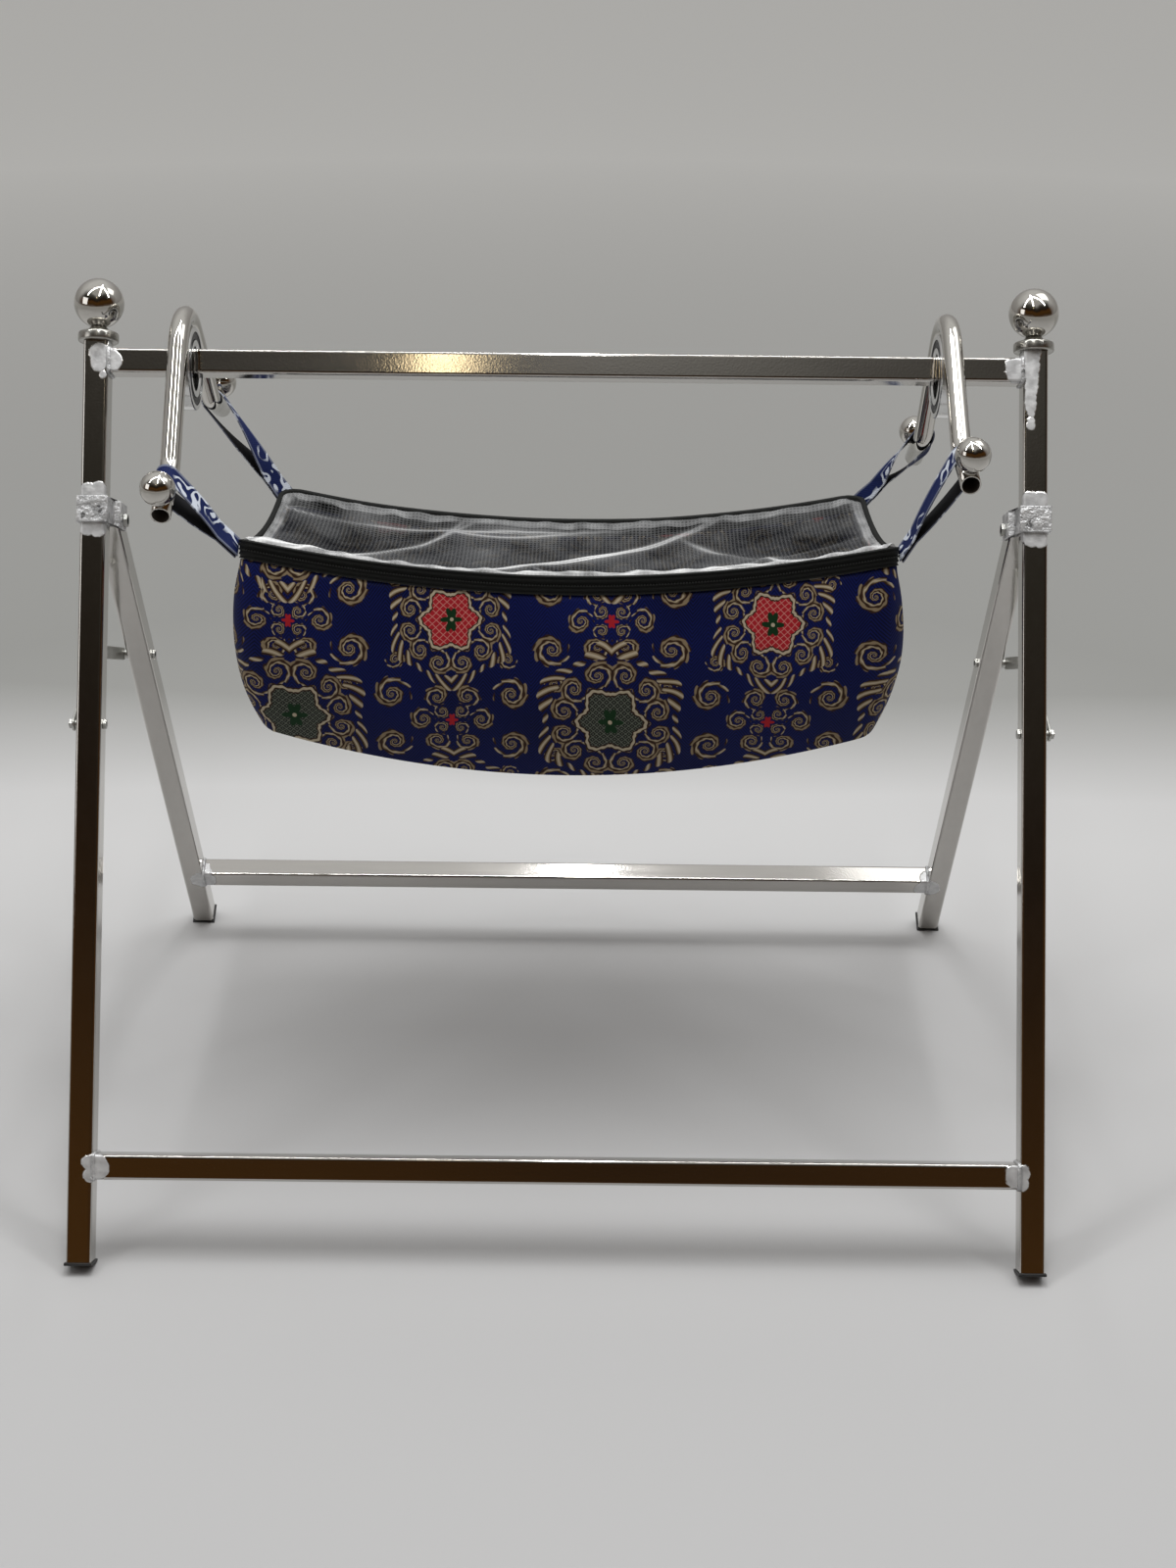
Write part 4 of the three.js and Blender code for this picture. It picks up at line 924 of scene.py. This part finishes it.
def hookPoints(name, side):
    splay, turned = hanger["splay"], hanger["splay"] + hanger["turn"]
    down = Vector((0, side * sin(splay), -cos(splay)))
    arch = Vector((0, side * cos(splay), sin(splay))) * hanger["arch"]
    along = Vector((0, side * sin(turned), -cos(turned)))
    up = Vector((0, side * cos(turned), sin(turned)))
    elbow = arch + down * hanger["arm"]
    end = elbow + along * hanger["hook"]
    ball = end - along * hanger["ballBack"] + up * (hanger["tube"] + hanger["ball"] + gap)
    turn = Matrix.Rotation(hanger["rest"][name], 3, "X")
    shift = swingAxis + sideways * (dict(sides)[name] * bearing["x"])
    points = {"arch": arch, "elbow": elbow, "end": end, "ball": ball, "strap": elbow + along * hanger["strapAt"]}
    placed = {key: shift + turn @ p for key, p in points.items()}
    placed["along"], placed["up"] = turn @ along, turn @ up
    return placed


def bendPoints(start, corner, end, steps=10):
    reach = hanger["bend"] * tan(hanger["turn"] / 2)
    a = corner + (start - corner).normalized() * reach
    b = corner + (end - corner).normalized() * reach
    return [a * (1 - t) ** 2 + corner * (2 * t * (1 - t)) + b * t ** 2 for t in arc(0, 1, steps)]


def makeHangers():
    for name, sign in sides:
        rear, front = hookPoints(name, 1), hookPoints(name, -1)
        centre = swingAxis + sideways * (sign * bearing["x"])
        turn = Matrix.Rotation(hanger["rest"][name], 3, "X")
        over = [centre + turn @ Vector((0, cos(t), sin(t))) * hanger["arch"]
                for t in arc(hanger["splay"], pi - hanger["splay"], 36)]
        path = [rear["end"], *bendPoints(rear["end"], rear["elbow"], rear["arch"]), *over,
                *bendPoints(front["arch"], front["elbow"], front["end"]), front["end"]]
        values = {"Radius": hanger["tube"], "Sides": hanger["sides"], "Material": brightSteel}
        pipe = growMesh(f"hangerTube_{name}", pathCarrier("hangerPath", path), pipes, values, 60)
        pipe.data.materials.append(tubeBoreShade)
        wall = pipe.modifiers.new("wall", "SOLIDIFY")
        wall.thickness, wall.offset, wall.material_offset = hanger["wall"], -1, 1
        settle(pipe, "cradle", "polished_steel", f"hanger_{name}")
        for where, hook in (("rear", rear), ("front", front)):
            globe = globeProfile(hanger["ball"], 26)
            ball = lathe(f"hookBall_{where}_{name}", globe, hook["ball"], hook["up"], brightSteel, 44, False, 60)
            settle(ball, "cradle", "polished_steel", f"hook_ball_{where}_{name}")
            foot = hook["ball"] - hook["up"] * (hanger["ball"] + hanger["weldSink"])
            seam = lathe(f"ballWeld_{where}_{name}", hanger["weld"], foot, hook["up"], silverPaint, 20, False)
            settle(seam, "cradle", "silver_paint")


makeHangers()
print("hangers ready")


# Basket: surfaces measured from the swing axis
basket = {
    "length": 0.654, "width": 0.33, "shift": 0.006, "corner": 0.024, "frontDrop": 0.125, "backDrop": 0.177,
    "sag": 0.036, "endSag": 0.022, "floorDrop": 0.33, "floorSag": 0.054, "crossSag": 0.006, "bulge": 0.013,
    "inset": 0.012, "floorSlack": 0.0025, "thick": 0.003, "band": 0.019, "bandOut": 0.0015, "bandThick": 0.005,
    "seam": 0.0008, "around": 224, "down": 30, "floor": 16, "mapStart": (0.055, 0.42), "floorMap": (0.4, 0.2),
}
reachX, reachY = basket["length"] / 2, basket["width"] / 2
perimeter = 2 * (2 * (reachX - basket["corner"]) + 2 * (reachY - basket["corner"]) + pi * basket["corner"])


def planPoint(share, offset):
    # a point round the basket's plan, from the front left
    corner, soft = basket["corner"] + offset, basket["corner"]
    cx, cy, bend = reachX - soft, reachY - soft, pi / 2 * soft
    runs = [2 * cx, bend, 2 * cy, bend] * 2
    left, run = share * perimeter, 0
    while run < 7 and left > runs[run]:
        left -= runs[run]
        run += 1
    if run % 2:
        turn = (run - 1) // 2
        angle = -pi / 2 + pi / 2 * (turn + left / runs[run])
        sx, sy = ((1, -1), (1, 1), (-1, 1), (-1, -1))[turn]
        return sx * cx + corner * cos(angle), sy * cy + corner * sin(angle)
    return ((left - cx, -reachY - offset), (reachX + offset, left - cy),
            (cx - left, reachY + offset), (-reachX - offset, cy - left))[run // 2]


def bow(x):
    return 1 - min(1, (x / reachX) ** 2)


def rimHeight(x, y):
    back = (y / reachY + 1) / 2
    across = 1 - min(1, (y / reachY) ** 2)
    drop = basket["frontDrop"] + (basket["backDrop"] - basket["frontDrop"]) * back
    return -drop - basket["sag"] * bow(x) - basket["endSag"] * across


def floorHeight(x, y):
    return -basket["floorDrop"] - basket["floorSag"] * bow(x) - basket["crossSag"] * (1 - (y / reachY) ** 2)


def cradlePoint(x, y, z):
    return swingAxis + Vector((x + basket["shift"], y, z))


slack = {
    "wide": (9, 0.003), "fine": (22, 0.0011), "drawAt": 0.13, "draws": 15, "drawReach": 0.075, "drawStart": 0.02,
    "draw": 0.0022,
}


def clothRipple(x, y, z, strength):
    # slack in the cloth, with draws from the corners that the straps lift
    p = Vector((x, y, z))
    (wide, high), (fine, low) = slack["wide"], slack["fine"]
    moved = noise.noise(p * wide + Vector((3, 7, 1))) * high + noise.noise(p * fine) * low
    for cx in (-reachX, reachX):
        dx, dz = abs(x - cx), z + slack["drawAt"]
        away = hypot(dx, dz)
        if away > 1e-6:
            fade = exp(-away / slack["drawReach"]) * min(1, away / slack["drawStart"])
            moved += sin(atan2(-dz, dx) * slack["draws"]) * fade * slack["draw"]
    return moved * strength


def wallPoint(share, down):
    # a point of the cloth wall, from the zip band at 0 to the floor's edge at 1
    rx, ry = planPoint(share, 0)
    bulge = basket["bulge"] * sin(pi * down) - basket["inset"] * down ** 4
    x, y = planPoint(share, bulge)
    top = rimHeight(rx, ry) - basket["band"] - basket["seam"]
    z = top + (floorHeight(rx, ry) - top) * down
    nx, ny = planPoint(share, bulge + 0.001)
    ripple = clothRipple(x, y, z, sin(pi * min(1, down * 1.02)) ** 0.6 if 0 < down < 1 else 0) * 1000
    return cradlePoint(x + (nx - x) * ripple, y + (ny - y) * ripple, z)


def floorPoint(share, inward):
    px, py = planPoint(share, -basket["inset"])
    x, y = px * inward, py * inward
    loose = noise.noise(Vector((x, y, 0)) * 12) * basket["floorSlack"] * sin(pi * inward)
    return cradlePoint(x, y, floorHeight(x, y) + loose)


def makeBasket():
    count = basket["around"]
    shares = [i / count for i in range(count)]
    rings = [[wallPoint(share, row / basket["down"]) for share in shares] for row in range(basket["down"] + 1)]
    rings += [[floorPoint(share, 1 - ring / basket["floor"]) for share in shares] for ring in range(1, basket["floor"])]
    verts, rows = numbered([*rings, [cradlePoint(0, 0, floorHeight(0, 0))]])
    wallFaces = basket["down"] * count

    def mapAt(face, vertex):
        p = verts[vertex] - swingAxis
        if face >= wallFaces:
            return p.x + basket["floorMap"][0], p.y + basket["floorMap"][1]
        i = vertex % count
        if i == 0 and face % count == count - 1:
            i = count
        return i / count * perimeter + basket["mapStart"][0], p.z + basket["mapStart"][1]

    piece = newPiece("basketCloth", verts, skin(rows), [printedCloth, clothInsideShade], 50, None, mapAt)
    if min(piece.data.polygons, key=lambda face: face.center.z).normal.z > 0:
        piece.data.flip_normals()
    wall = piece.modifiers.new("thickness", "SOLIDIFY")
    wall.thickness, wall.offset, wall.material_offset = basket["thick"], -1, 1
    settle(piece, "cradle", "printed_cloth", "basket_shell")


tape = {
    "steps": 26, "around": 240, "ridges": 4, "ridge": 0.0007, "slit": (0.44, 0.56, 0.0012), "wave": (9, 0.0008),
    "teethAround": 420, "pitch": 0.003, "tooth": (0.0022, 0.0012, 0.0017), "sliderBevel": 0.0006,
}


def bandPoint(share, offset, drop):
    rx, ry = planPoint(share, 0)
    x, y = planPoint(share, offset)
    scale, high = tape["wave"]
    wave = noise.noise(Vector((rx * scale, ry * scale, 2))) * high
    return cradlePoint(x, y, rimHeight(rx, ry) - drop + wave)


def makeZip():
    out, thick, tall = basket["bandOut"], basket["bandThick"], basket["band"]
    low, high, depth = tape["slit"]
    section = []
    for down in arc(0, 1, tape["steps"]):
        ridge = tape["ridge"] * cos(down * tau * tape["ridges"]) - (depth if low < down < high else 0)
        section.append((out - tape["ridge"] + ridge, down * tall))
    section += [(out - 0.0016, tall + 0.0002), (out - thick + 0.001, tall), (out - thick, tall - 0.001),
                (out - thick, 0.001), (out - thick + 0.001, 0)]
    lines = [[bandPoint(i / tape["around"], o, d) for i in range(tape["around"])] for o, d in section]
    settle(ringPiece("zipBand", lines, zipTape, True, 70), "cradle", "zip_tape", "zip_band")
    path = [bandPoint(i / tape["teethAround"], out - 0.0008, tall * 0.5) for i in range(tape["teethAround"])]
    values = {"Pitch": tape["pitch"], "Block": tape["tooth"], "Material": zipTeeth}
    settle(growMesh("zipTeeth", pathCarrier("zipPath", path, True), blocks, values, 30), "cradle", "zip_tape")
    low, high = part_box("zip_slider")
    centre, size = (low + high) / 2, high - low
    outline = [(x * size.x, z * size.z) for x, z in ((-0.5, -0.3), (-0.3, -0.5), (0.3, -0.5), (0.5, -0.3),
                                                     (0.5, 0.3), (0.3, 0.5), (-0.3, 0.5), (-0.5, 0.3))]
    up, out = Vector((0, 0, 1)), Vector((0, 1, 0))
    slider = prism("zipSlider", outline, size.y, centre, sideways, up, out, zincPlate, tape["sliderBevel"])
    settle(slider, "cradle", "zinc_steel", "zip_slider")


# Net: each fold runs between two points of the plan, given as shares of its half sizes, with a weight
net = {
    "sag": 0.016, "lift": 0.002, "fold": 0.0075, "foldWide": 0.015, "core": 0.0021, "halo": 0.0075, "hem": 0.011,
    "ruffle": 0.0085, "ruffleAt": 0.009, "pucker": 0.0045, "slack": 0.0024, "rings": 110, "around": 420,
}
netFolds = [
    ((-1, -1), (0.99, -0.4), 1.0), ((-1, -1), (0.96, 0.2), 1.0), ((-1, -1), (0.5, 0.95), 1.0),
    ((-1, -1), (-0.35, 0.98), 0.8), ((0.97, -0.95), (-0.15, 0.1), 0.7), ((0.97, -0.9), (0.35, 0.8), 0.7),
    ((-1, 0.7), (0.2, 0.9), 0.4),
]


def bell(away, wide):
    return exp(-((away / wide) ** 2))


def foldAt(x, y):
    # how far the folds lift the net here, and how doubled it is
    rise, share = 0, 0
    for (ax, ay), (bx, by), weight in netFolds:
        ax, ay, bx, by = ax * reachX, ay * reachY, bx * reachX, by * reachY
        dx, dy = bx - ax, by - ay
        near = max(0, min(1, ((x - ax) * dx + (y - ay) * dy) / (dx * dx + dy * dy)))
        wander = noise.noise(Vector((x * 9, y * 9, ax * 9 + by * 7))) * 0.012
        away = abs((x - ax) * dy - (y - ay) * dx) / hypot(dx, dy)
        past = hypot(x - ax - near * dx, y - ay - near * dy)
        away = max(abs(away + wander), past - abs(away) - 0.02)
        fade = weight * min(1, (1.05 - near) * 3)
        rise += fade * net["fold"] * bell(away, net["foldWide"])
        share = max(share, fade * (0.85 * bell(away, net["core"]) + 0.22 * bell(away, net["halo"])))
    return rise, min(1, share)


def netPoint(x, y, share, inset):
    # the net's place here, and how white it is
    rise, fold = foldAt(x, y)
    free = 1 - share ** 4
    border = max(0, min(reachX - abs(x), reachY - abs(y)) + inset)
    near = max(0, 1 - border / (net["hem"] * 2.2)) * min(1, border * 400)
    pucker = noise.noise(Vector((x * 55, y * 30, 0))) * net["pucker"] * near
    back = (y / reachY + 1) / 2
    ruffle = net["ruffle"] * bell(border - net["ruffleAt"], 0.009) * min(1, border * 300) * max(0, 1 - back * 2.4)
    low = (net["sag"] * (0.3 + 0.7 * back) - rise) * free
    loose = noise.noise(Vector((x * 18, y * 18, 5))) * net["slack"] * free
    ragged = net["hem"] * (1 + 0.35 * noise.noise(Vector((x * 28, y * 28, 3))))
    hem = max(0, min(1, (ragged - border) / 0.0015)) * (0.55 + 0.45 * noise.noise(Vector((x * 75, y * 40, 8))))
    z = rimHeight(x, y) - net["lift"] - low + ruffle + pucker + loose
    return cradlePoint(x, y, z), min(1, max(fold, hem * (0.95 - 0.6 * back)))


def makeNet():
    inset = basket["bandOut"] - basket["bandThick"] + 0.001
    rings, shares, flat = [], [], []
    for ring in range(net["rings"] + 1):
        share = 1 - ring / net["rings"]
        line = []
        for i in range(net["around"] if share > 0 else 1):
            px, py = planPoint(i / net["around"], inset)
            point, white = netPoint(px * share, py * share, share, inset)
            line.append(point)
            shares.append(white)
            flat.append((px * share, py * share))
        rings.append(line)
    verts, rows = numbered(rings)
    piece = newPiece("netCover", verts, skin(rows), [whiteNet], 180, None, lambda face, vertex: flat[vertex])
    piece.data.attributes.new("foldShare", "FLOAT", "POINT").data.foreach_set("value", shares)
    if sum(face.normal.z * face.area for face in piece.data.polygons) < 0:
        piece.data.flip_normals()
    settle(piece, "cradle", "white_net", "net_cover")


makeBasket()
makeZip()
makeNet()
print("basket, zip and net ready")


# Straps: a loop of webbing from each hook to a corner of the basket
strap = {
    "wide": 0.0245, "thick": 0.0014, "clear": 0.0006, "tab": 0.026, "bowOut": 0.0035, "curl": 0.0006, "steps": 18,
    "turns": 24, "across": 6, "proud": 0.0008, "join": 0.0004, "corner": {"front": 0.0, "rear": radians(45)},
}


def loopLine(reach):
    # the loop's side view: from the corner, round the hook at (0, 0) and back
    inner, neck, join = hanger["tube"] + strap["clear"], reach - strap["tab"], strap["join"]
    spread = acos(inner / neck)
    a, b = Vector((neck, join)), Vector((inner * cos(spread), inner * sin(spread)))
    out = []
    for t in arc(0, 1, strap["steps"]):
        p = a.lerp(b, t)
        out.append((p.x, p.y + strap["bowOut"] * sin(pi * t) * (1 - 0.4 * t) * 0.6))
    round_ = [(inner * cos(t), inner * sin(t)) for t in arc(spread, tau - spread, strap["turns"])[1:]]
    back = [(x, -y) for x, y in reversed(out[:strap["steps"]])]
    tab = [(reach - join, join), (reach - strap["tab"] * 0.5, join)]
    return [*tab, *out, *round_, *back, *((x, -y) for x, y in reversed(tab))]


def makeStrap(name, sign, where, side):
    hook = hookPoints(name, side)
    start, along = hook["strap"], hook["along"]
    corner, soft = strap["corner"][where], basket["corner"]
    near, off = cos(corner), sin(corner)
    ex, ey = sign * (reachX - soft + soft * near), side * (reachY - soft + soft * off)
    proud = basket["bandOut"] + strap["proud"]
    end = cradlePoint(ex + sign * proud * near, ey + side * proud * off, rimHeight(ex, ey) - basket["band"] / 2)
    sewn = Vector((sign * off, -side * near, 0)) if corner else along
    sewn = sewn if sewn.dot(along) > 0 else -sewn
    run = end - start
    flatRun = run - along * run.dot(along)
    reach, up = flatRun.length, along.cross(flatRun.normalized())
    line, across = loopLine(reach), strap["across"]
    rings, uvs, walked = [], [], 0
    for index, (x, y) in enumerate(line):
        before, after = line[max(0, index - 1)], line[min(len(line) - 1, index + 1)]
        tangent = Vector((after[0] - before[0], after[1] - before[1])).normalized()
        normal = Vector((tangent.y, -tangent.x))
        walked += hypot(x - line[index - 1][0], y - line[index - 1][1]) if index else 0
        ring = []
        for layer, order in ((0, range(across + 1)), (1, range(across, -1, -1))):
            for k in order:
                w = (k / across - 0.5) * strap["wide"]
                away = layer * strap["thick"] + strap["curl"] * (2 * k / across - 1) ** 2
                px, py = x + normal.x * away, y + normal.y * away
                share = max(0, min(1, px / reach))
                wide = along.lerp(sewn, share * share * (3 - 2 * share)).normalized()
                rise = wide.cross(run).normalized()
                rise = up.lerp(rise if rise.dot(up) > 0 else -rise, min(1, share * 6)).normalized()
                ring.append(start + run * (px / reach) + rise * py + wide * w)
                uvs.append((walked, w))
        rings.append(ring)
    verts, rows = numbered(rings)
    faces, around = skin(rows), 2 * across + 2
    slots = [1 if i % around < across else 0 for i in range(len(faces))]
    # the back's faces start one point on, so that they split the way the front's do
    faces = [(*face[1:], face[0]) if i % around > across else face for i, face in enumerate(faces)]
    for row in (rows[0], rows[-1]):
        faces += [(row[k], row[k + 1], row[-2 - k], row[-1 - k]) for k in range(across)]
        slots += [0] * across
    label, looks = f"webbing_{where}_{name}", [strapPrint, webBack]
    piece = newPiece(label, verts, faces, looks, 50, slots, lambda face, vertex: uvs[vertex])
    settle(piece, "cradle", "strap_cloth", f"strap_{where}_{name}")


for name, sign in sides:
    for where, side in (("front", -1), ("rear", 1)):
        makeStrap(name, sign, where, side)
print("straps ready")


# Floor and light. The front of the room, which the posts mirror, is dark and brown low down
room = {
    "near": (0.48, 0.48, 0.483), "far": (0.59, 0.59, 0.592), "shaded": (0.335, 0.337, 0.326),
    "distant": (0.9, 0.9, 0.885), "size": 90.0, "below": 0.0002, "air": (0.4, 0.4, 0.395),
    "open": [(0.0, (0.3, 0.29, 0.28)), (0.35, (0.42, 0.41, 0.4)), (0.8, (0.75, 0.75, 0.74))],
    "dark": [(0.0, (0.12, 0.09, 0.07)), (0.14, (0.05, 0.024, 0.008)), (0.32, (0.082, 0.036, 0.009)),
             (0.5, (0.018, 0.012, 0.008)), (0.64, (0.038, 0.034, 0.027)), (0.74, (0.11, 0.105, 0.095)),
             (0.86, (0.46, 0.45, 0.43))],
}
white, warm = (1.0, 1.0, 1.0), (1.0, 0.8, 0.48)
lamps = [*((f"ceilingStrip{i}", (x, -0.25, 2.75), (0.08, 2.4), 21.0, white) for i, x in enumerate((-1.0, 0.0, 1.0))),
         ("warmWindow", (-0.4, -2.96, 3.41), (0.13, 0.24), 0.4, warm),
         ("sideFill", (-2.6, -1.2, 1.6), (1.2, 1.2), 7.0, white), ("rearWash", (1.4, 0.6, 2.6), (1.2, 1.2), 7.0, white)]


def makeFloor():
    made = Finish("studioPaper", Roughness=0.55, Specular_IOR_Level=0.25)
    x, depth, _ = made.parts(made.place)
    away = (x * x + depth * depth).math("SQRT")
    patch = made.noise(1.1, 2.0)
    # The paper's colour carries painted light and shade: lighter from near to far, darker in a painted shaded zone
    # behind the stand, and lighter again further off
    floor = made.mix(((depth + 0.52) / 1.1).clamped(), room["near"], room["far"])
    shaded = made.mix(((depth - 0.76) / 0.36 + (patch - 0.5) * 0.6).clamped(), floor, room["shaded"])
    made.feed("Base Color", made.mix(((away - 1.6) / 4.6).clamped(), shaded, room["distant"]))
    half = room["size"] / 2
    corners = [(sx * half, sy * half, -room["below"]) for sx, sy in ((-1, -1), (1, -1), (1, 1), (-1, 1))]
    paper = newPiece("studioPaper", corners, [(0, 1, 2, 3)], [made.material], 60)


def makeWorld():
    world = bpy.data.worlds.new("studioRoom")
    scene.world = world
    world.use_nodes = True
    desk = NodeDesk(world.node_tree)
    ray = desk.make("ShaderNodeTexCoord", out="Generated")
    x, y, z = desk.parts(ray)
    patches = desk.make("ShaderNodeTexNoise", {}, {"Vector": ray, "Scale": 2.6, "Detail": 1.5}, "Fac")
    middle = (1 - abs(x) * 3).clamped()
    rise = (z + middle * 0.09 + (patches - 0.5) * 0.22).clamped()
    light, dark = (desk.make("ShaderNodeValToRGB", {"stops": room[key]}, [rise]) for key in ("open", "dark"))
    facing = ((0.15 - y) * 2.2 + (patches - 0.5)).clamped()
    seen = desk.make("ShaderNodeLightPath", out="Is Camera Ray")
    background = world.node_tree.nodes["Background"]
    desk.fill(background.inputs["Color"], desk.mix(seen, desk.mix(facing, light, dark), room["air"]))
    background.inputs["Strength"].default_value = 1.0


def makeLamps():
    for name, place, (wide, long), power, colour in lamps:
        light = bpy.data.lights.new(name, "AREA")
        light.color = colour
        light.shape, light.size, light.size_y, light.energy = "RECTANGLE", wide, long, power
        lamp = bpy.data.objects.new(name, light)
        lamp.location = place
        aim = Vector((place[0] * 0.5, 0.1, 0.3)) - Vector(place)
        lamp.rotation_euler = aim.to_track_quat("-Z", "Y").to_euler()
        scene.collection.objects.link(lamp)


makeFloor()
makeWorld()
makeLamps()
scene.view_settings.view_transform = "Standard"
print("room ready")
